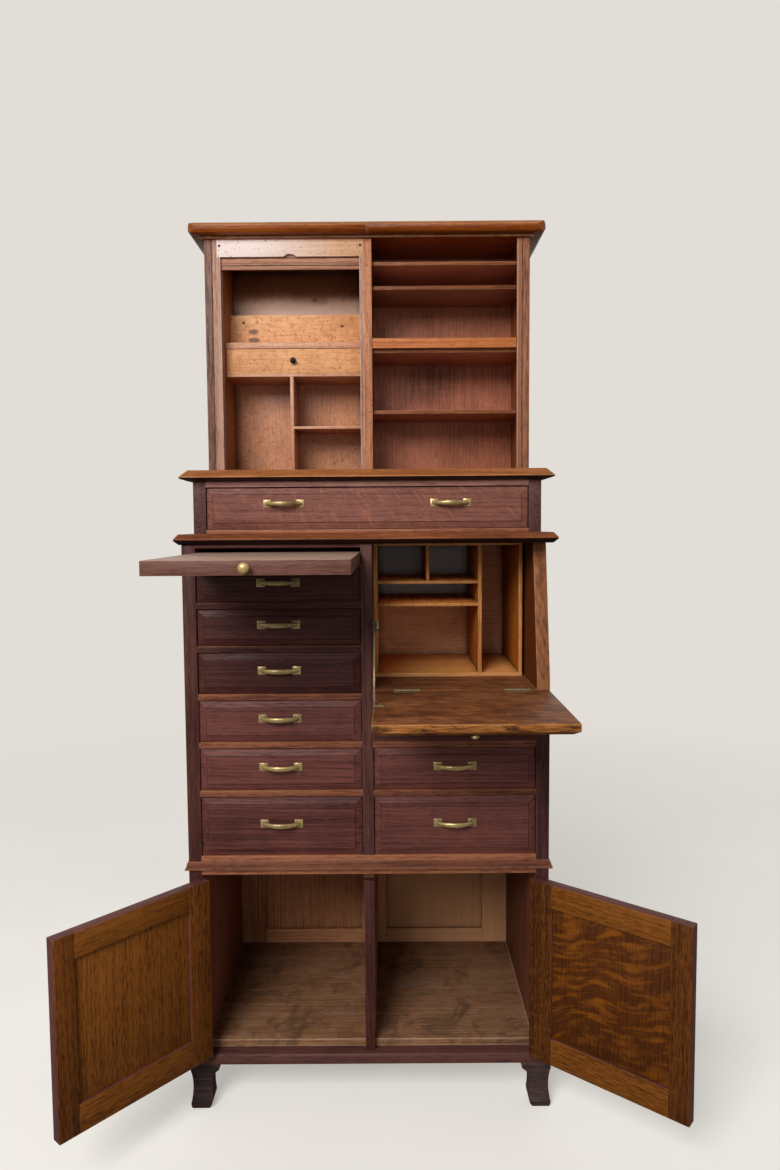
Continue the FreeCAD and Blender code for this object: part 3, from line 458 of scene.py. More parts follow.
leftward, rightward = Vector((-1, 0, 0)), Vector((1, 0, 0))
frontward, upward = Vector((0, -1, 0)), Vector((0, 0, 1))
stained_oak = oak("stained_oak", (40, 19, 17), (67, 37, 33), (90, 52, 45), (130, 78, 60),
                  ray_share=0.3, ray_depth=0.3)
sleeve_oak = oak("sleeve_oak", (96, 54, 30), (148, 94, 58), (176, 120, 80), (200, 150, 108),
                 wear=0.7, wear_reach=0.004)
desk_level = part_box("desk_bed")[1].z
stain_line = desk_level - 0.03
rubbed_above = shaded_along("Z", stain_line - 0.004, stain_line, 1, (142, 92, 56))
dark_above = shaded_along("Z", stain_line, desk_level, 1, (92, 44, 16))
side_edge_oak = oak("side_edge_oak", (46, 25, 25), (79, 48, 46), (106, 67, 63), (146, 94, 80),
                    extra=rubbed_above)
wall_oak = oak("wall_oak", (78, 38, 28), (120, 68, 50), (146, 92, 68), (166, 116, 90),
               rough=0.6, dirt=0.75, wear=0.35, extra=dark_above)


def side_face(number, face):
    """Bare inside, rubbed on the slant, a little redder on the edge under it, stained elsewhere."""
    right = number == 1
    upright = abs(face.normal.z) < 0.05
    if looks(face, leftward if right else rightward):
        return 1
    return (3 if upright else 2) if right and looks(face, frontward) else 0


planed("lower_sides", [stained_oak, wall_oak, sleeve_oak, side_edge_oak], side_face)


# Cupboard floor and divider
# A wide oak floor board, grey and ring-marked from what stood on it, with its front edge worn pale.
# The divider is tongued into it, with a stop strip on its front edge between the doors.
def clouded(scale, *changes, **settings):
    """A touch for a finish: noise, with a share of a shade over each of some stretches of it."""
    def touch(tree, colour):
        cloud = noise(tree, scale, **settings)
        for start, end, share, shade in changes:
            colour = mixed(tree, spread(tree, cloud, start, end, 0, share), colour, shade)
        return colour
    return touch


def by_board(last):
    """Choose the finish that has the board's number, or the last one."""
    return lambda number, face: min(number, last)


ring_marks = clouded(9, (0.5, 0.62, 0.55, (58, 44, 38)), (0.45, 0.3, 0.4, (150, 132, 116)),
                     detail=6, rough=0.7, distortion=1.2)
grey_oak = oak("grey_oak", (92, 60, 41), (130, 90, 62), (160, 118, 86), (206, 168, 134),
               rough=0.62, wear=0.85, wear_reach=0.006, extra=ring_marks)
bare_oak = oak("bare_oak", (104, 62, 38), (150, 96, 62), (176, 122, 84), (190, 144, 110),
               rough=0.6, dirt=0.75, wear=0.35)
planed("cupboard_floor", [grey_oak])
planed("cupboard_divider", [bare_oak, stained_oak], by_board(1))


# Mid rail
# The rail over the doors, let into both sides, with a stuck moulding nailed on it and round the sides.
# The rail and the moulding are rubbed to brown; the dust board behind them is bare.
bright_rail_oak = oak("bright_rail_oak", (90, 46, 30), (132, 77, 53), (164, 104, 74), (186, 128, 94),
                      wear=0.6, dash=0.35)
rubbed_oak = oak("rubbed_oak", (58, 30, 20), (94, 53, 37), (122, 72, 52), (160, 108, 82),
                 wear=0.7, wear_reach=0.004)
planed("mid_rail", [bright_rail_oak, bare_oak, rubbed_oak], by_board(2), ease=0.0006)


# Column divider and drawer rails
# The stained upright between the drawer columns, and the rails and runners that carry the drawers.
# The lower rails' front edges are rubbed brown; the upper ones are dark stained, a painted shadow of the
# writing slide; the runners are bare.
def faces_front(number, face):
    """The second finish for what faces the room, the first for the rest."""
    return 1 if face.normal.y < -0.5 else 0


rail_oak = oak("rail_oak", (66, 35, 27), (106, 60, 44), (140, 85, 60), (164, 106, 76), wear=0.6, dash=0.35)
upper_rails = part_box("left_drawer_3")[1].z


def rail_face(number, face):
    """Rubbed fronts on the lower rails, dark stained ones above them as a painted shadow of the writing
    slide, and bare runners.
    """
    # Above the third drawer the fronts stay dark, as a painted shadow of the writing slide.
    front = 2 if face.center.z > upper_rails else 1
    return front if faces_front(number, face) else 0


planed("column_divider", [post_oak])
planed("drawer_rails", [bare_oak, rail_oak, stained_oak], rail_face)


# Desk bed and pigeonholes
# The fixed half of the writing surface on a stained frieze, and the thin unstained boards of the
# pigeonhole unit, housed into each other, against a back lined in the upper row with grey paper.
def all_of(*touches):
    """Some touches for a finish, one after another."""
    def touch(tree, colour):
        for one in touches:
            colour = one(tree, colour)
        return colour
    return touch


written_on = all_of(
    clouded((3, 34, 34), (0.53, 0.66, 0.55, (166, 116, 78)), (0.47, 0.34, 0.65, (60, 33, 22)),
            detail=6, rough=0.7),
    clouded((26, 44, 44), (0.52, 0.66, 0.6, (178, 108, 54)), (0.48, 0.36, 0.6, (72, 38, 20)),
            detail=5, rough=0.65))
desk_oak = oak("desk_oak", (80, 44, 26), (135, 81, 50), (168, 110, 71), (196, 138, 84),
               wear=0.75, wear_reach=0.005, ray_share=0.4, extra=written_on)
planed("desk_bed", [desk_oak, stained_oak], by_board(1), along=(1, 0, 0))
paper_rise, upright_inset, paper_blur, paper_side_blur = 0.158, 0.094, 0.003, 0.002
holes_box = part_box("desk_pigeonholes")
paper_edge, paper_end = holes_box[0].z + paper_rise, holes_box[1].x - upright_inset


def paper_lining(tree, colour):
    """Slate-grey paper behind the upper rows, left of the tall upright."""
    place = own_axes(tree)
    above = spread(tree, place["Z"], paper_edge - paper_blur, paper_edge + paper_blur)
    beside = spread(tree, place["X"], paper_end + paper_side_blur, paper_end - paper_side_blur)
    return mixed(tree, sums(tree, "MULTIPLY", above, beside), colour, (228, 226, 224))


inner_oak = oak("inner_oak", (164, 98, 42), (226, 148, 72), (242, 174, 100), (240, 184, 120), rough=0.55)
honey_oak = oak("honey_oak", (150, 90, 44), (198, 130, 72), (222, 160, 100), (232, 184, 130),
                rough=0.5, dirt=0.4, wear=0.4)
lined_oak = oak("lined_oak", (168, 110, 74), (220, 158, 114), (234, 180, 138), (232, 182, 140),
                rough=0.6, extra=paper_lining)
deep_oak = oak("deep_oak", (120, 62, 14), (168, 96, 30), (190, 120, 52), (206, 144, 84), rough=0.55)
back_board = 5


def hole_face(number, face):
    """Lined back, paler front edges, and deeper walls at the right of each hole."""
    return 2 if number == back_board else 3 if looks(face, leftward) else faces_front(number, face)


planed("desk_pigeonholes", [inner_oak, honey_oak, lined_oak, deep_oak], hole_face, ease=0.0005)


# Back of the lower case
# A pegged frame of stiles, rails and a muntin round four thin panels, bare oak inside and out.
# Inside it is painted paler behind the right-hand cupboard, as light falling there.
# The paler right half inside is painted light.
back_oak = oak("back_oak", (110, 66, 42), (158, 102, 68), (184, 130, 92), (194, 148, 112),
               rough=0.6, dirt=0.7, wear=0.3, extra=shaded_along("X", -0.02, 0.06, 0.5, (226, 172, 124)))
planed("lower_back", [bare_oak, back_oak], faces_front)


# Lower top
# One wide board over the drawers and the desk, with a pointed nosing worked on three edges.
# Its top and nosing are rubbed to orange-brown along the front; underneath it is painted almost black, as
# shade.
def faces_down(number, face):
    """The second finish for what faces the floor, the first for the rest."""
    return 1 if face.normal.z < -0.1 else 0


top_oak = oak("top_oak", (76, 36, 18), (120, 64, 34), (150, 88, 52), (188, 126, 86),
              wear=0.75, wear_reach=0.005)
# Downward faces painted almost black: painted shade under the overhangs.
under_oak = oak("under_oak", (20, 8, 5), (34, 14, 9), (50, 22, 15), (86, 46, 32), wear=0.3)
planed("lower_top", [top_oak, under_oak], faces_down, ease=0.0014)


# Waist
# Low case of the wide drawer: two sides, a front rail, a floor and a back, dowelled together, with a
# second pointed board over it. The rail is rubbed greyish and the floor's edge brown.
def pick(piece, kind, wanted):
    """Select, in edit mode, the faces, edges or corners that a test wants."""
    bpy.ops.mesh.select_mode(type=kind)
    bpy.ops.mesh.select_all(action="DESELECT")
    shape = bmesh.from_edit_mesh(piece.data)
    for item in {"FACE": shape.faces, "EDGE": shape.edges, "VERT": shape.verts}[kind]:
        item.select_set(bool(wanted(item)))
    bmesh.update_edit_mesh(piece.data)


waist_edge_oak = oak("waist_edge_oak", (56, 36, 32), (88, 58, 53), (112, 78, 71), (150, 106, 90))
waist_rail_oak = oak("waist_rail_oak", (90, 54, 46), (136, 92, 82), (168, 120, 108), (186, 140, 124))
waist_rail, waist_floor = 2, 4
nose_drop, level_slack = 0.0035, 0.001


def waist_face(number, face):
    """Rubbed rail and floor edge, greyer side edges, and stain on the rest."""
    front = {waist_floor: 1, waist_rail: 3}.get(number, 2)
    return front if faces_front(number, face) else 0


def point_lowered(piece):
    """Draw the nose's point down, so that more of the upper slope shows."""
    low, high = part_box("waist_top")
    with editing(piece):
        pick(piece, "VERT", lambda corner: low.z + level_slack < corner.co.z < high.z - level_slack)
        bpy.ops.transform.translate(value=(0, 0, -nose_drop))


planed("waist_case", [stained_oak, bright_rail_oak, waist_edge_oak, waist_rail_oak], waist_face)
waist_top_oak = oak("waist_top_oak", (92, 47, 20), (138, 79, 38), (168, 104, 58), (212, 152, 108),
                    wear=0.75, wear_reach=0.005)
# Its downward faces are painted almost black, as shade.
planed("waist_top", [waist_top_oak, under_oak], faces_down, ease=0.0014, shape=point_lowered)


# Upper case sides, divider and back
# Thin oak sides weathered greyish-brown, each with a pinker face strip, a speckled divider between the
# two bays, and vertical back boards nailed into a rebate. The open bay is dark inside.
strip_width, joint_width, joint_blur = 0.018, 0.0012, 0.0026
strip_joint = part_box("upper_sides")[1].x - strip_width


def strip_lines(tree, colour):
    """A dark joint beside each face strip."""
    off = sums(tree, "SUBTRACT", sums(tree, "ABSOLUTE", own_axes(tree)["X"]), strip_joint)
    line = spread(tree, sums(tree, "ABSOLUTE", off), joint_blur, joint_width, 0, 0.9)
    return mixed(tree, line, colour, (44, 25, 20))


browner_right = shaded_along("X", -0.01, 0.01, 0.75, (150, 88, 50))
faded_oak = oak("faded_oak", (104, 68, 54), (158, 114, 94), (186, 142, 120), (222, 184, 164),
                wear=0.85, wear_reach=0.005, dash=0.35, extra=all_of(browner_right, strip_lines))
weathered_oak = oak("weathered_oak", (70, 46, 38), (114, 80, 68), (144, 106, 92), (192, 152, 136),
                    wear=0.6, dash=0.35, extra=strip_lines)
brown_edge_oak = oak("brown_edge_oak", (84, 48, 30), (134, 84, 58), (164, 110, 80), (180, 128, 98),
                     wear=0.4, dash=0.35, extra=strip_lines)
bay_look = {"dirt": 0.8, "streak": 0.18, "dash": 0.1, "ring_depth": 0.06, "clouding": 0.5, "gloss": 0.3}
bay_dark_oak = oak("bay_dark_oak", (110, 60, 42), (176, 108, 80), (202, 134, 104), (194, 140, 114),
                   **bay_look)
bay_wall_oak = oak("bay_wall_oak", (86, 40, 14), (138, 74, 32), (160, 92, 44), (184, 124, 80), **bay_look)
right_side, left_side = 0, 1


def upper_side_face(number, face):
    """Dark inside the open bay, brown on its front edge, weathered on the sides, pinker on the strips."""
    if number == right_side and faces_front(number, face):
        return 3
    return 1 if number == right_side and looks(face, leftward) else 2 if number <= left_side else 0


planed("upper_sides", [faded_oak, bay_wall_oak, weathered_oak, brown_edge_oak], upper_side_face,
       ease=0.0016)
age_spots = clouded((290, 290, 174), (0.63, 0.7, 0.75, (92, 50, 30)))
divider_oak = oak("divider_oak", (146, 90, 60), (188, 126, 92), (206, 150, 114), (224, 182, 152),
                  extra=age_spots)
planed("upper_divider", [divider_oak, bay_wall_oak],
       lambda number, face: 1 if looks(face, rightward) else 0)
planed("upper_back", [bare_oak, bay_dark_oak], faces_front, along=(0, 0, 1))


# Linings and fittings of the tambour bay
# Boards that part the bay from the curtain's run: dark brown sides, and a pinkish back, painted light over
# the letter board and painted shadow under the ceiling. A shelf, that board, a drawer bearer, an upright and
# a small shelf are housed and pinned.
@effect(centre=(0.0, 0.0, 0.0), half_size=(0.01, 0.01, 0.01))
def oval_mark(group, given):
    """A soft-edged oval mark at a place on a piece."""
    off = vectors(group, "SUBTRACT", own_place(group), given["Centre"])
    far = vectors(group, "LENGTH", vectors(group, "DIVIDE", off, given["Half Size"]))
    ragged = weighed(group, (noise(group, 160, detail=3), 0.6), start=far)
    return {"Mask": spread(group, ragged, 1.45, 1.0)}


def marked(*marks):
    """A touch for a finish: oval marks, each a shade, a strength, a centre and its half size."""
    def touch(tree, colour):
        for shade, strength, centre, size in marks:
            mask = placed(tree, oval_mark, centre=centre, half_size=size)["Mask"]
            colour = mixed(tree, sums(tree, "MULTIPLY", mask, strength), colour, shade)
        return colour
    return touch


def only_board(wanted):
    """Choose the second finish for one board, the first for the rest."""
    return lambda number, face: 1 if number == wanted else 0


linings_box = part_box("bay_linings")
bay_middle = (linings_box[0].x + linings_box[1].x) / 2
knot_place, knot_size = (bay_middle + 0.048, 0.2, 1.793), (0.006, 0.05, 0.005)
knot = marked(((70, 40, 30), 0.8, knot_place, knot_size))
letter_rise, letter_height = 0.3195, 0.0775
letter_y, letter_z = 0.146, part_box("bay_partitions")[0].z + letter_rise
letter_top = letter_z + letter_height
letter_marks = marked(
    ((112, 76, 68), 0.85, (bay_middle - 0.0972, letter_y, letter_z + 0.0319), (0.0125, 0.02, 0.0065)),
    ((108, 84, 68), 0.85, (bay_middle - 0.0958, letter_y, letter_z + 0.0115), (0.014, 0.02, 0.0065)),
    ((48, 38, 34), 0.9, (bay_middle - 0.12, letter_y, letter_z + 0.0536), (0.0042, 0.02, 0.0032)),
    ((48, 38, 34), 0.9, (bay_middle + 0.1195, letter_y, letter_z + 0.044), (0.0046, 0.02, 0.0034)))
mottled = clouded(70, (0.5, 0.36, 0.5, (178, 112, 60)), detail=4, rough=0.6)
speckled = all_of(mottled, age_spots, letter_marks, knot)


def bleached_back(tree, colour):
    """Painted light over the letter board, and painted shadow up under the ceiling."""
    level = weighed(tree, (noise(tree, 26, detail=3), 0.03), start=own_axes(tree)["Z"])
    # A painted band of light just over the letter board.
    pale = sums(tree, "MULTIPLY", spread(tree, level, letter_top - 0.02, letter_top + 0.01, 0, 0.55),
                spread(tree, level, letter_top + 0.075, letter_top + 0.045))
    colour = mixed(tree, pale, colour, (238, 206, 186))
    # Painted shadow under the bay's ceiling.
    ceiling_shadow = spread(tree, level, letter_top + 0.05, letter_top + 0.08, 0, 0.7)
    return mixed(tree, ceiling_shadow, colour, (96, 48, 18))


pink = (156, 98, 70), (200, 140, 104), (218, 162, 126), (226, 184, 154)
pink_look = {"ring_depth": 0.05, "dash": 0.08, "streak": 0.12, "clouding": 0.5, "rough": 0.42, "dirt": 0.7,
             "gloss": 0.4}
pink_oak = oak("pink_oak", *pink, extra=speckled, **pink_look)
bay_back_oak = oak("bay_back_oak", *pink, extra=all_of(speckled, bleached_back), **pink_look)
letter_oak = oak("letter_oak", (184, 120, 74), (228, 164, 112), (240, 186, 138), (244, 206, 164),
                 ring_depth=0.04, dash=0.06, streak=0.15, clouding=0.5, rough=0.5, dirt=0.35, gloss=0.25,
                 extra=speckled)
lining_back, letter_board = 2, 1
planed("bay_linings", [bay_wall_oak, bay_back_oak], only_board(lining_back), ease=0.0005,
       along=(0, 0, 1))
planed("bay_partitions", [pink_oak, letter_oak], only_board(letter_board), ease=0.0006)


# Shelves of the open bay
# Four thin shelves housed into the side and the divider, dull pinkish-brown above and below, and
# darker brown along their front edges.
edge_oak = oak("edge_oak", (78, 42, 22), (122, 68, 38), (152, 94, 60), (180, 124, 92), wear=0.55)
planed("right_shelves", [bay_dark_oak, edge_oak], faces_front, ease=0.0005)


# Cornice
# The top in two boards butted at the middle, with a rounded nosing and a small bead pinned under it.
# Both are polished brown; their upward faces are painted paler, as light from above.
cornice_oak = oak("cornice_oak", (92, 38, 3), (140, 66, 6), (166, 92, 22), (214, 178, 150),
                  wear=0.6, wear_reach=0.004, gloss=0.2, rough=0.4)
# Upward faces painted paler: painted light from above.
cornice_top_oak = oak("cornice_top_oak", (104, 56, 24), (158, 98, 54), (186, 128, 80), (222, 190, 166),
                      wear=0.65, wear_reach=0.004, gloss=0.3, rough=0.36)
planed("cornice", [cornice_oak, cornice_top_oak],
       lambda number, face: 1 if face.normal.z > 0.05 else 0)


# Tambour frame and lead rail
# A head rail with a finger notch, bleached pale at its left, and the strips that hold the slats' ends.
# The lead rail is the curtain's bottom slat, made thicker, with a finger groove along it.
head_low, head_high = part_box("tambour_frame")
nail_drop, left_nail, right_nail = 0.02, head_low.x + 0.017, head_high.x - 0.006
nail_holes = marked(*[((30, 20, 16), 0.95, (x, head_low.y, head_high.z - nail_drop), (0.0032, 0.01, 0.0032))
                      for x in (left_nail, right_nail)])
pale_left = shaded_along("X", head_high.x - 0.05, head_low.x + 0.1, 0.95, (236, 218, 210))
flecked = clouded(200, (0.62, 0.7, 0.75, (96, 62, 48)), detail=3)
head_oak = oak("head_oak", (170, 112, 76), (205, 154, 116), (222, 178, 142), (240, 214, 196),
               wear=0.4, dirt=0.4, pore_depth=0.25, extra=all_of(pale_left, flecked, nail_holes))
head_rail = 0
planed("tambour_frame", [faded_oak, head_oak], only_board(head_rail), ease=0.0006)
# Nearly black, painted into grooves, fine lines and arrises as shade.
line_oak = oak("line_oak", (16, 7, 6), (27, 12, 11), (40, 20, 17), (60, 30, 24), wear=0.0)
slat_oak = oak("slat_oak", (118, 72, 52), (160, 108, 82), (188, 138, 110), (216, 174, 148),
               wear=0.6, wear_reach=0.002)
lead_low, lead_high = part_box("tambour_lead_rail")
groove_shares, groove_depth, groove_slack = (0.57, 0.72), 0.004, 1e-4
groove_low, groove_high = (lead_low.z + share * (lead_high.z - lead_low.z) for share in groove_shares)


def in_groove(spot):
    """Whether a point lies in the height of the finger groove."""
    return groove_low - groove_slack < spot.z < groove_high + groove_slack


def cut_across(place, way):
    """Cut the whole piece along a plane, in edit mode."""
    bpy.ops.mesh.select_all(action="SELECT")
    bpy.ops.mesh.bisect(plane_co=place, plane_no=way)


def drawn_out(way):
    """Draw the selected faces out, or in, with new walls round them."""
    bpy.ops.mesh.extrude_region_move(TRANSFORM_OT_translate={"value": way})


def grooved(piece):
    """Sink the finger groove along the front."""
    with editing(piece):
        for level in (groove_low, groove_high):
            cut_across((0, 0, level), (0, 0, 1))
        pick(piece, "FACE", lambda face: face.normal.y < -0.9 and in_groove(face.calc_center_median()))
        drawn_out((0, groove_depth, 0))


# The groove's faces are painted nearly black, as shade.
planed("tambour_lead_rail", [slat_oak, line_oak],
       lambda number, face: 1 if in_groove(face.center) and abs(face.normal.x) < 0.5 else 0,
       ease=0.0012, carve=grooved)


# Drawers
# Each has a fielded oak front with a line scratched round its field, and a box of thin bare oak.
# The fronts are stained dark, with painted shade in the line and on the arrises; the upper left three are
# painted darker still, as the writing slide's shadow; the waist's is pinker and quarter-sawn.
waist_oak = oak("waist_oak", (70, 35, 30), (106, 60, 50), (136, 86, 72), (174, 118, 96), ring_depth=0.08,
                ray=(190, 118, 84), ray_share=0.48, ray_depth=0.42, ray_tilt=0.5, ray_scale=1.5, gloss=0.2)
drawer_look = {"ray_depth": 0.3, "ray_tilt": 1.2, "streak": 0.5, "gloss": 0.2}
drawer_oak = oak("drawer_oak", (52, 24, 22), (88, 47, 42), (114, 65, 58), (146, 90, 74),
                 ray=(128, 70, 56), **drawer_look)
# The upper left three fronts, darker: a painted shadow of the writing slide over them.
shaded_drawer_oak = oak("shaded_drawer_oak", (38, 15, 13), (64, 30, 27), (84, 44, 38), (118, 68, 55),
                        ray=(106, 58, 46), **drawer_look)
line_width = 0.0018


def lined_field(piece):
    """Cut a fine line round the raised field of a front."""
    fronts = [face for face in piece.data.polygons if face.normal.y < -0.99]
    field = max(fronts, key=lambda face: face.area).index
    with editing(piece):
        pick(piece, "FACE", lambda face: face.index == field)
        bpy.ops.mesh.inset(thickness=line_width, depth=-line_width)
        bpy.ops.mesh.inset(thickness=line_width, depth=line_width)


def front_face(number, face):
    """Stain on the front, painted shade in its lines and on its arrises; the rest of the drawer is bare."""
    return 1 if number else 2 if -0.9 < face.normal.y < -0.3 else 0


drawers = sorted(name for name in frame["nodes"] if name.startswith(("left_drawer_", "right_drawer_")))
drawer_stains = dict.fromkeys(drawers, drawer_oak)
drawer_stains["waist_drawer"] = waist_oak
# These fronts take the painted shadow of the writing slide.
for number in (1, 2, 3):
    drawer_stains[f"left_drawer_{number}"] = shaded_drawer_oak
for name, stain in drawer_stains.items():
    planed(name, [stain, bare_oak, line_oak], front_face, carve=lined_field, smooth=12)
tray_oak = oak("tray_oak", (136, 68, 32), (184, 104, 54), (204, 128, 76), (220, 160, 110))
planed("inner_drawer", [letter_oak, bare_oak], by_board(1), ease=0.0006)
planed("shelf_tray", [tray_oak, bare_oak], by_board(1), ease=0.0006)


# Writing slide
# A clamped oak board that pulls out over the drawers on its own rails.
# It is paler and greyer on top than on its front edge, partly from wear and partly as a painted reflection.
# The top's pale grey is partly wear and partly a painted reflection.
slide_oak = oak("slide_oak", (92, 64, 50), (150, 118, 100), (182, 152, 134), (168, 124, 100),
                streak=0.6, dash=0.3)
slide_edge_oak = oak("slide_edge_oak", (54, 30, 24), (88, 54, 45), (114, 74, 62), (142, 96, 78),
                     dash=0.35, gloss=0.25)
planed("writing_slide", [slide_oak, slide_edge_oak],
       lambda number, face: 0 if looks(face, upward) else 1, along=(1, 0, 0), ease=0.0012)


# Desk flap
# The fall of the desk, a thick board hinged to the bed and bevelled round its stained outer face.
# Its inner face, the writing surface, is worn brown, and its free edge is rubbed and chipped.
chipped = clouded((24, 60, 60), (0.49, 0.38, 0.85, (60, 34, 22)), detail=5, rough=0.65)
fall_edge_oak = oak("fall_edge_oak", (94, 52, 22), (145, 88, 42), (186, 121, 62), (214, 156, 92),
                    wear=0.6, wear_reach=0.004, dash=0.4, extra=chipped)
added_thickness = 0.005


def flap_face(number, face):
    """The writing surface, the worn front edge, and the stained rest."""
    return 1 if face.normal.z > 0.5 else 2 if face.normal.y < -0.2 else 0


def thickened(piece):
    """Lower the outer face with its bevels, so that the free edge is as thick as it looks."""
    with editing(piece):
        pick(piece, "FACE", lambda face: face.normal.z < -0.3)
        bpy.ops.transform.translate(value=(0, 0, -added_thickness))


planed("flap", [drawer_oak, desk_oak, fall_edge_oak], flap_face, ease=0.0012, shape=thickened)


# Doors
# Two framed doors with fielded panels, pinned at the corners and stained like the drawers outside.
# Inside they are golden-brown oak; the right one's stiles are painted darker, as shade, and its panel is
# quarter-sawn and rayed.
golden_look = {"dash_width": 0.002, "clouding": 0.2, "dirt": 0.5}
golden_oak = oak("golden_oak", (38, 17, 5), (84, 43, 13), (124, 70, 24), (144, 92, 42), ring_depth=0.1,
                 dash=0.42, ray=(150, 94, 40), ray_share=0.25, wear=0.4, **golden_look)
# A darker copy of the golden oak for the right door's stiles: painted shade.
shaded_golden_oak = oak("shaded_golden_oak", (32, 14, 4), (72, 36, 11), (108, 60, 20), (126, 80, 36),
                        ring_depth=0.1, dash=0.42, ray=(134, 84, 36), ray_share=0.45, wear=0.4,
                        **golden_look)
golden_rail_oak = oak("golden_rail_oak", (50, 24, 6), (104, 56, 16), (142, 84, 30), (160, 104, 50),
                      ring_depth=0.1, dash=0.4, wear=0.4, **golden_look)
rayed_oak = oak("rayed_oak", (30, 13, 3), (62, 29, 8), (92, 48, 15), (124, 76, 34),
                ring_depth=0.08, dash=0.35, ray=(146, 82, 20), ray_share=0.72, ray_depth=0.75,
                ray_tilt=-0.3, ray_scale=0.6, ray_across=26.0, wear=0.3, **golden_look)
joints = {joint["name"]: joint for joint in frame["joints"]}


def shut_turn(side):
    """The turn about Z that shuts a door."""
    joint = joints[f"{side}_door_hinge"]
    return math.radians(joint["axis"][2] * joint["range_deg"][0])


def inner_way(side):
    """The way that the inner face of an open door looks."""
    return Matrix.Rotation(-shut_turn(side), 3, "Z") @ Vector((0, 1, 0))


def door_face(side):
    """Choose the second finish inside a door, a third on its rails, the first outside and on its edges."""
    way = inner_way(side)
    return lambda number, face: 0 if not looks(face, way) else 2 if number > 1 else 1


door_oaks = ("left", golden_oak, golden_rail_oak), ("right", shaded_golden_oak, rayed_oak)
for side, stile_oak, panel_oak in door_oaks:
    planed(f"{side}_door_frame", [drawer_oak, stile_oak, golden_rail_oak], door_face(side))
    planed(f"{side}_door_panel", [drawer_oak, panel_oak], door_face(side), ease=0.0005)


# Drawer pulls
# Cast brass bow pulls: two square plates and a bowed grip that tapers towards them, pinned through
# the drawer fronts. They are dull, dark in the corners with dirt and painted shade, and bright where fingers
# close on them.
def aged_brass_finish(name, tarnish, bare, bright):
    """Old cast brass: tarnish in clouds, dirt and painted shade in the corners, and bright rubbed edges."""
    material, tree, shader = new_finish(name)
    old = placed(tree, patina, size=22.0)
    worn = placed(tree, worn_edges, reach=0.0016, share=0.75)["Mask"]
    dirt_and_shade_mask = placed(tree, settled_dirt, reach=0.006, amount=0.8)["Mask"]
    colour = mixed(tree, old["Clouds"], tarnish, bare)
    colour = mixed(tree, sums(tree, "MULTIPLY", old["Blotches"], 0.6), colour, tarnish)
    colour = mixed(tree, worn, colour, bright)
    # Dark in sheltered corners: tarnish and dirt, with painted shade.
    feed(tree, shader["Base Color"], mixed(tree, dirt_and_shade_mask, colour, (42, 30, 16)))
    feed(tree, shader["Metallic"], spread(tree, old["Clouds"], 0.2, 0.8, 0.3, 0.65))
    dull = weighed(tree, (old["Blotches"], 0.2), (dirt_and_shade_mask, 0.3), (worn, -0.1), start=0.36)
    feed(tree, shader["Roughness"], dull)
    raised(tree, shader, old["Clouds"], 0.25, 0.0002)
    return material


def set_primitive(size):
    """Give the primitive just added its size, and settle its place in its mesh."""
    bpy.context.object.scale = size
    bpy.ops.object.transform_apply(location=True, rotation=True, scale=True)
    return bpy.context.object


def turned_outward():
    """Turn all the faces of the piece outward, in edit mode."""
    bpy.ops.mesh.select_all(action="SELECT")
    bpy.ops.mesh.normals_make_consistent(inside=False)


def pull_plate(middle, size, thickness):
    """One square plate with a raised field."""
    field_inset, field_rise, soft_edge = 0.0026, 0.0008, 0.0004
    base = thickness - field_rise
    bpy.ops.mesh.primitive_cube_add(size=1, location=(middle, -base / 2, 0))
    plate = set_primitive((size, base, size))
    with editing(plate):
        pick(plate, "FACE", lambda face: face.normal.y < -0.9)
        bpy.ops.mesh.inset(thickness=field_inset, depth=field_rise)
    eased(plate, soft_edge, 30, True)
    smoothed(plate, 40)
    return plate


def bow_pull(length, reach, plate, plate_thickness):
    """One pull at the origin, its plates against the plane Y = 0 and its grip towards -Y."""
    plates = [pull_plate(side * (length - plate) / 2, plate, plate_thickness) for side in (-1, 1)]
    grip_thickness, grip_height = 0.0055, 0.0105
    tip_height, tip_inset, tip_overrun, tip_swell = 0.006, 0.0075, 0.07, 0.35
    chord = length / 2 - tip_inset
    rise = reach - grip_thickness / 2 - plate_thickness
    bend = (chord ** 2 + rise ** 2) / (2 * rise)
    centre = -plate_thickness - rise + bend
    sweep = math.asin(chord / bend) + tip_overrun
    bpy.ops.mesh.primitive_circle_add(
        vertices=16, radius=1, location=(-bend * math.sin(sweep), centre - bend * math.cos(sweep), 0),
        rotation=(0, math.pi / 2, -sweep))
    grip = set_primitive((grip_height / 2, grip_thickness / 2, 1))
    with editing(grip):
        bpy.ops.mesh.spin(steps=28, angle=-2 * sweep, center=(0, centre, 0), axis=(0, 0, 1))
        bpy.ops.mesh.select_all(action="SELECT")
        bpy.ops.mesh.remove_doubles(threshold=1e-6)
        bpy.ops.mesh.fill_holes(sides=0)
        turned_outward()
    for point in grip.data.vertices:
        arm = Vector((point.co.x, point.co.y - centre))
        share = (math.atan2(arm.x, -arm.y) / sweep) ** 2
        arm = arm.normalized() * (bend + (arm.length - bend) * (1 + tip_swell * share))
        point.co = (arm.x, min(arm.y + centre, -plate_thickness / 2),
                    point.co.z * (1 + (tip_height / grip_height - 1) * share))
    smoothed(grip, 50)
    for one in plates:
        one.select_set(True)
    bpy.ops.object.join()
    grip.data.materials.clear()
    grip.data.materials.append(aged_brass)
    return grip


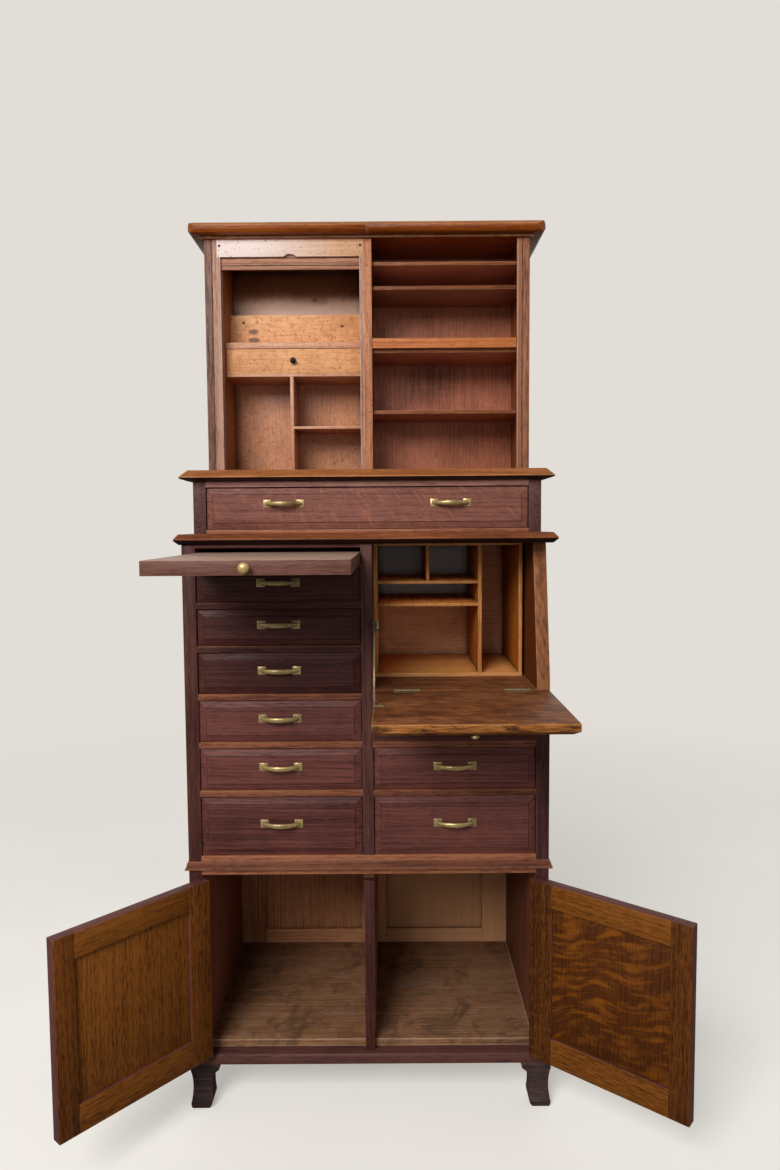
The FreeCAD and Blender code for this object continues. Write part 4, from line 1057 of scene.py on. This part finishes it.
def set_copy(model, name, places, body, slot, *nodes):
    """Copies of a model at some places, joined to one piece with its own mesh."""
    copies = []
    for place in places:
        copy = model.copy()
        copy.data = model.data.copy()
        copy.data.transform(place if isinstance(place, Matrix) else Matrix.Translation(place))
        bpy.context.collection.objects.link(copy)
        copies.append(copy)
    alone(copies[0])
    for copy in copies:
        copy.select_set(True)
    if len(copies) > 1:
        bpy.ops.object.join()
    copies[0].name = copies[0].data.name = name
    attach(copies[0], body)
    if nodes:
        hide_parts(*nodes)


aged_brass = aged_brass_finish("aged_brass", (112, 92, 56), (214, 186, 126), (246, 228, 182))
pull_low, pull_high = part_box("left_pull_1")
pull_size = pull_high - pull_low
pull_plate_thickness = 0.0025
pull = bow_pull(pull_size.x, pull_size.y, pull_size.z, pull_plate_thickness)
for name in drawers + ["waist_drawer"]:
    node = name.replace("drawer", "pulls" if name == "waist_drawer" else "pull")
    low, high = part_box(node)
    ends = low.x + pull_size.x / 2, high.x - pull_size.x / 2
    xs = ends if name == "waist_drawer" else [(low.x + high.x) / 2]
    set_copy(pull, f"{node}_cast", [(x, high.y, (low.z + high.z) / 2) for x in xs], name, "aged_brass", node)
bpy.data.objects.remove(pull)


# Knobs
# Knobs turned on a lathe: brass on the writing slide, the flap and the right door, and a small one of
# blackened wood on the inner drawer. Each is screwed through from behind.
def turned_knob(node, way, finish, slot):
    """A knob turned ring by ring from its base, set where its node is."""
    rings = ((0.8, 0), (0.8, 0.1), (0.7, 0.15), (0.5, 0.22), (0.44, 0.31), (0.47, 0.41), (0.68, 0.49),
             (0.9, 0.58), (1.0, 0.7), (0.95, 0.82), (0.76, 0.92), (0.44, 0.98), (0.14, 1.0))
    way = Vector(way).normalized()
    spots = [v.co for v in frame["nodes"][node].data.vertices]
    heights = [spot.dot(way) for spot in spots]
    foot, length = min(heights), max(heights) - min(heights)
    ends = [spot for spot, height in zip(spots, heights) if height < foot + 1e-5]
    base = sum(ends, Vector()) / len(ends)
    radius = max((spot - base - way * (spot - base).dot(way)).length for spot in spots)
    bpy.ops.mesh.primitive_circle_add(vertices=40, radius=rings[0][0] * radius, fill_type="NGON",
                                      location=(0, 0, 0))
    knob = bpy.context.object
    with editing(knob):
        for (width, level), (next_width, next_level) in zip(rings, rings[1:]):
            drawn_out((0, 0, (next_level - level) * length))
            grow = next_width / width
            bpy.ops.transform.resize(value=(grow, grow, 1), center_override=(0, 0, next_level * length))
        turned_outward()
    smoothed(knob, 50)
    knob.data.materials.append(finish)
    place = Matrix.Translation(base) @ way.to_track_quat("Z", "Y").to_matrix().to_4x4()
    set_copy(knob, f"{node}_turned", [place], frame["nodes"][node]["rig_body"], slot, node)
    bpy.data.objects.remove(knob)


ebonised = oak("ebonised_wood", (16, 11, 9), (30, 20, 16), (48, 32, 25), (84, 58, 42), rough=0.3)
bright_brass = aged_brass_finish("bright_brass", (166, 138, 84), (222, 192, 128), (246, 228, 182))
turned_knob("writing_slide_knob", (0, -1, 0), bright_brass, "aged_brass")
turned_knob("flap_knob", (0, 0, -1), aged_brass, "aged_brass")
turned_knob("right_door_knob", -inner_way("right"), aged_brass, "aged_brass")
turned_knob("inner_drawer_knob", (0, -1, 0), ebonised, "dark_knob")


# Hinges, stay and screws
# Brass butt hinges on the doors and the flap, and the quadrant stay with its guide, all let in flush.
# Each hinge leaf is held by three slotted countersunk screws, and the stay by two.
dulled_brass = aged_brass_finish("dulled_brass", (96, 82, 58), (150, 130, 94), (196, 176, 136))
for node in ("case_hinges", "left_door_hinges", "right_door_hinges", "flap_hinges", "flap_stay",
             "desk_hinges_and_guide"):
    frame["nodes"][node].material_slots[0].material = dulled_brass


def screw_head(radius, rise, slot_width):
    """A slotted screw head at the origin that stands up a little along Z."""
    crown_inset, crown_rise, slot_depth = 0.25 * radius, 0.3 * rise, 0.8 * rise
    bpy.ops.mesh.primitive_circle_add(vertices=20, radius=radius, fill_type="NGON", location=(0, 0, 0))
    head = bpy.context.object
    with editing(head):
        drawn_out((0, 0, rise))
        bpy.ops.mesh.inset(thickness=crown_inset, depth=crown_rise)
        for side in (-1, 1):
            cut_across((0, side * slot_width / 2, 0), (0, 1, 0))
        pick(head, "FACE",
             lambda face: face.normal.z > 0.5 and abs(face.calc_center_median().y) < slot_width / 2)
        drawn_out((0, 0, -slot_depth))
        turned_outward()
    head.data.materials.append(dulled_brass)
    return head


def screws_along(start, end, way, count=3):
    """Places of screws in a row along a leaf, each turned a different way."""
    start, end = Vector(start), Vector(end)
    turn_step, turn_by_place = 1.9, 40
    places = []
    for number in range(count):
        spot = Matrix.Translation(start.lerp(end, (number + 0.5) / count))
        turn = Matrix.Rotation(turn_step * number + turn_by_place * start.x, 4, "Z")
        places.append(spot @ Vector(way).to_track_quat("Z", "Y").to_matrix().to_4x4() @ turn)
    return places


screw = screw_head(0.0026, 0.0005, 0.0009)
leaf_width, door_leaf_length, flap_leaf_length = 0.017, 0.06, 0.052
screw_share, leaf_face = 0.55, 0.0007
row_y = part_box("lower_sides")[0].y + screw_share * leaf_width
case_rows = []
for side, sign in (("left", -1), ("right", 1)):
    hinge = Vector(joints[f"{side}_door_hinge"]["pos_m"])
    low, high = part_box(f"{side}_door_hinges")
    opened = Matrix.Rotation(-shut_turn(side), 4, "Z")
    swing = Matrix.Translation(hinge) @ opened @ Matrix.Translation(-hinge)
    case_x, door_x = hinge.x + sign * leaf_face, hinge.x - sign * leaf_face
    rows = []
    for bottom in (low.z, high.z - door_leaf_length):
        top = bottom + door_leaf_length
        case_rows += screws_along((case_x, row_y, bottom), (case_x, row_y, top), (-sign, 0, 0))
        shut_row = screws_along((door_x, row_y, bottom), (door_x, row_y, top), (sign, 0, 0))
        rows += [swing @ place for place in shut_row]
    set_copy(screw, f"{side}_door_screws", rows, f"{side}_door", "aged_brass")
set_copy(screw, "case_hinge_screws", case_rows, "case", "aged_brass")
low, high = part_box("flap_hinges")
hinge = Vector(joints["desk_flap_hinge"]["pos_m"])
flap_screw_off, flap_screw_sink = 0.0115, 0.0002
row_z = hinge.z - flap_screw_sink
for name, body, sign in (("flap_screws", "desk_flap", -1), ("bed_hinge_screws", "case", 1)):
    row_y = hinge.y + sign * flap_screw_off
    rows = []
    for left in (low.x, high.x - flap_leaf_length):
        rows += screws_along((left, row_y, row_z), (left + flap_leaf_length, row_y, row_z), (0, 0, 1))
    set_copy(screw, name, rows, body, "aged_brass")
low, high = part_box("flap_stay")
stay_inset, stay_setback, stay_stand, stay_spread = 0.008, 0.014, 0.0014, 0.01
stay_x, stay_y, stay_z = high.x - stay_inset, low.y + stay_setback, hinge.z + stay_stand
near_y, far_y = stay_y - stay_spread, stay_y + stay_spread
rows = screws_along((stay_x, near_y, stay_z), (stay_x, far_y, stay_z), (0, 0, 1), 2)
set_copy(screw, "flap_stay_screws", rows, "desk_flap", "aged_brass")
bpy.data.objects.remove(screw)


# Tambour curtain
# Thin oak slats glued to a canvas, which slides in grooves and is stored over the bay's ceiling.
# Behind the head rail a run of slats is folded up small; the lead rail comes down with one slat on it,
# and the folded slats keep their place.
def canvas_finish():
    """Plain-woven brown canvas."""
    material, tree, shader = new_finish("brown_canvas")
    weave = node_in(tree, "ShaderNodeTexChecker", {"Vector": own_place(tree), "Scale": 900}).outputs["Fac"]
    fade = spread(tree, noise(tree, 12, detail=4), 0.3, 0.7)
    colour = mixed(tree, fade, (92, 74, 54), (128, 106, 80))
    feed(tree, shader["Base Color"], mixed(tree, sums(tree, "MULTIPLY", weave, 0.25), colour, (60, 46, 32)))
    shader["Roughness"].default_value = 0.9
    raised(tree, shader, weave, 0.4, 0.0003)
    return material


brown_canvas = canvas_finish()
canvas_board, first_stored = 38, 3
planed("tambour_curtain", [slat_oak, brown_canvas], only_board(canvas_board),
       keep=lambda number: number >= first_stored, ease=0.0004)
drop = -joints["tambour_slide"]["range_m"][0]
slat_pitch, slat_gap, slat_depth, slat_round, canvas_gauge = 0.0125, 0.0006, 0.006, 0.0016, 0.0008
fold_rise = 0.029
fold_top, fold_low = lead_high.z + fold_rise, lead_high.z + slat_pitch
fold_run = fold_top - fold_low
drawn_length = fold_run + drop
curtain_middle, curtain_width = (lead_low.x + lead_high.x) / 2, lead_high.x - lead_low.x


def along_front(edge):
    """Whether an edge runs along the front of a slat."""
    first, second = (corner.co for corner in edge.verts)
    front = max(first.y, second.y) < lead_low.y + 1e-5
    return front and abs(first.x - second.x) > curtain_width / 2


def slat_model(height, top):
    """One slat with rounded front edges, between the tracks, with its top at a height."""
    middle = (curtain_middle, lead_low.y + slat_depth / 2, -height / 2)
    bpy.ops.mesh.primitive_cube_add(size=1, location=middle)
    slat = set_primitive((curtain_width, slat_depth, height))
    with editing(slat):
        pick(slat, "EDGE", along_front)
        bpy.ops.mesh.bevel(offset=slat_round, segments=3, affect="EDGES")
    slat.data.transform(Matrix.Translation((0, 0, top)))
    return slat


def finished_slats(piece, name):
    """Grain, tone and finish for slats that were modelled here."""
    piece.name = piece.data.name = name
    mesh = piece.data
    marks = mesh.attributes.new("board", "INT", "FACE")
    marks.data.foreach_set("value", [round(face.center.z / slat_pitch) for face in mesh.polygons])
    lay_grain(piece, (1, 0, 0))
    smoothed(piece, 35)
    mesh.materials.append(slat_oak)


def folded(height):
    """Where a height of the drawn-out curtain lies when it is folded up behind the head rail."""
    depth = (fold_top - height) / drawn_length
    low, high = 0.0, 1.0
    for _ in range(50):
        share = (low + high) / 2
        reach = (share * fold_run + share * share * (3 - 2 * share) * drop) / drawn_length
        low, high = (share, high) if reach < depth else (low, share)
    return fold_top - fold_run * share


top_slat = slat_model(slat_pitch - slat_gap, lead_high.z + slat_pitch - slat_gap)
finished_slats(top_slat, "tambour_top_slat")
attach(top_slat, "tambour")
slat_count = math.floor(drawn_length / slat_pitch)
step = drawn_length / slat_count
slats = slat_model(step - slat_gap, fold_top)
repeat = slats.modifiers.new("repeat", "ARRAY")
repeat.count, repeat.use_relative_offset, repeat.use_constant_offset = slat_count, False, True
repeat.constant_offset_displace = (0, 0, -step)
alone(slats)
bpy.ops.object.modifier_apply(modifier="repeat")
finished_slats(slats, "tambour_folded_slats")
bpy.ops.mesh.primitive_grid_add(
    x_subdivisions=1, y_subdivisions=2 * slat_count, size=1, rotation=(math.pi / 2, 0, 0),
    location=(curtain_middle, lead_low.y + slat_depth, fold_top - drawn_length / 2))
cloth = set_primitive((curtain_width, drawn_length, 1))
cloth.name = cloth.data.name = "tambour_canvas"
thick = cloth.modifiers.new("thick", "SOLIDIFY")
thick.thickness, thick.offset = canvas_gauge, -1
bpy.ops.object.modifier_apply(modifier="thick")
for piece in (slats, cloth):
    for point in piece.data.vertices:
        point.co.z = folded(point.co.z)
    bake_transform(piece)
    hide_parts("tambour_curtain")
cloth.data.materials.append(brown_canvas)


# Floor, light and camera
# A pale floor that fades into a pale room, and soft daylight from a window at the left.
# The camera stands at the photograph's place.
bpy.ops.mesh.primitive_plane_add(size=14, location=(0, 0, 0))
floor = bpy.context.object
floor.name = "pale_floor"
material, tree, shader = new_finish("pale_floor")
wall, shaded_floor = (226, 222, 215), (120, 116, 110)
cloud = spread(tree, noise(tree, 1.4, detail=5), 0.3, 0.7)
pale = mixed(tree, cloud, (216, 213, 207), (228, 225, 219))
path = node_in(tree, "ShaderNodeLightPath").outputs
reach = vectors(tree, "LENGTH", own_place(tree))
far = sums(tree, "MULTIPLY", spread(tree, reach, 0.9, 3.6), path["Is Camera Ray"])
seen = sums(tree, "MAXIMUM", path["Is Camera Ray"], sums(tree, "MULTIPLY", path["Is Glossy Ray"], 0.25))
pale = mixed(tree, far, mixed(tree, seen, shaded_floor, pale), (0, 0, 0))
feed(tree, shader["Base Color"], pale)
shader["Roughness"].default_value = 0.7
shader["Specular IOR Level"].default_value = 0.0
shader["Emission Color"].default_value = tint(*wall)
glow = weighed(tree, (far, 0.5), start=0.5)
feed(tree, shader["Emission Strength"], sums(tree, "MULTIPLY", path["Is Camera Ray"], glow))
floor.data.materials.append(material)

lamp = bpy.data.lights.new("window", "AREA")
lamp.size, lamp.energy = 1.8, 148
window = bpy.data.objects.new("window", lamp)
bpy.context.collection.objects.link(window)
window_place, window_aim = Vector((-1.35, -3.6, 3.15)), Vector((0, -0.1, 1.0))
window.location = window_place
window.rotation_euler = (window_aim - window_place).to_track_quat("-Z", "Y").to_euler()

world = bpy.data.worlds.new("white_room")
bpy.context.scene.world = world
world.use_nodes = True
sky = world.node_tree
path = node_in(sky, "ShaderNodeLightPath").outputs
way = node_in(sky, "ShaderNodeTexCoord").outputs["Generated"]
way = node_in(sky, "ShaderNodeSeparateXYZ", {0: way}).outputs
dim_room = (92, 90, 86)
dark_grey, grey, light_grey = ([level, level, level, 1] for level in (0.1, 0.55, 0.75))
front = spread(sky, way["Y"], 0.1, -0.7)
low = sums(sky, "MULTIPLY", front, spread(sky, way["Z"], 0.5, 0.1))
level = sums(sky, "MULTIPLY", front, spread(sky, sums(sky, "ABSOLUTE", way["Z"]), 0.5, 0.25))
behind = mixed(sky, spread(sky, way["Y"], -0.1, 0.6), dark_grey, grey)
ambient = mixed(sky, level, behind, light_grey)
shine = mixed(sky, low, wall, dim_room)
unseen = mixed(sky, path["Is Glossy Ray"], ambient, shine)
feed(sky, sky.nodes["Background"].inputs["Color"], mixed(sky, path["Is Camera Ray"], unseen, wall))

image_height, focal_pixels = 1170, 835.4
camera_heading, camera_tilt, camera_roll = 0.00125, 0.07094, -0.00682
view = bpy.data.cameras.new("photo_view")
view.sensor_fit, view.sensor_height = "VERTICAL", 36
view.lens = focal_pixels / image_height * view.sensor_height
camera = bpy.data.objects.new("photo_view", view)
bpy.context.collection.objects.link(camera)
turn = Matrix.Rotation(camera_heading, 3, "Z") @ Matrix.Rotation(math.radians(90) - camera_tilt, 3, "X")
camera.rotation_euler = (turn @ Matrix.Rotation(camera_roll, 3, "Z")).to_euler()
camera.location = (0.0502, -1.9247, 1.2319)
bpy.context.scene.camera = camera

bpy.context.scene.view_settings.view_transform = "Standard"
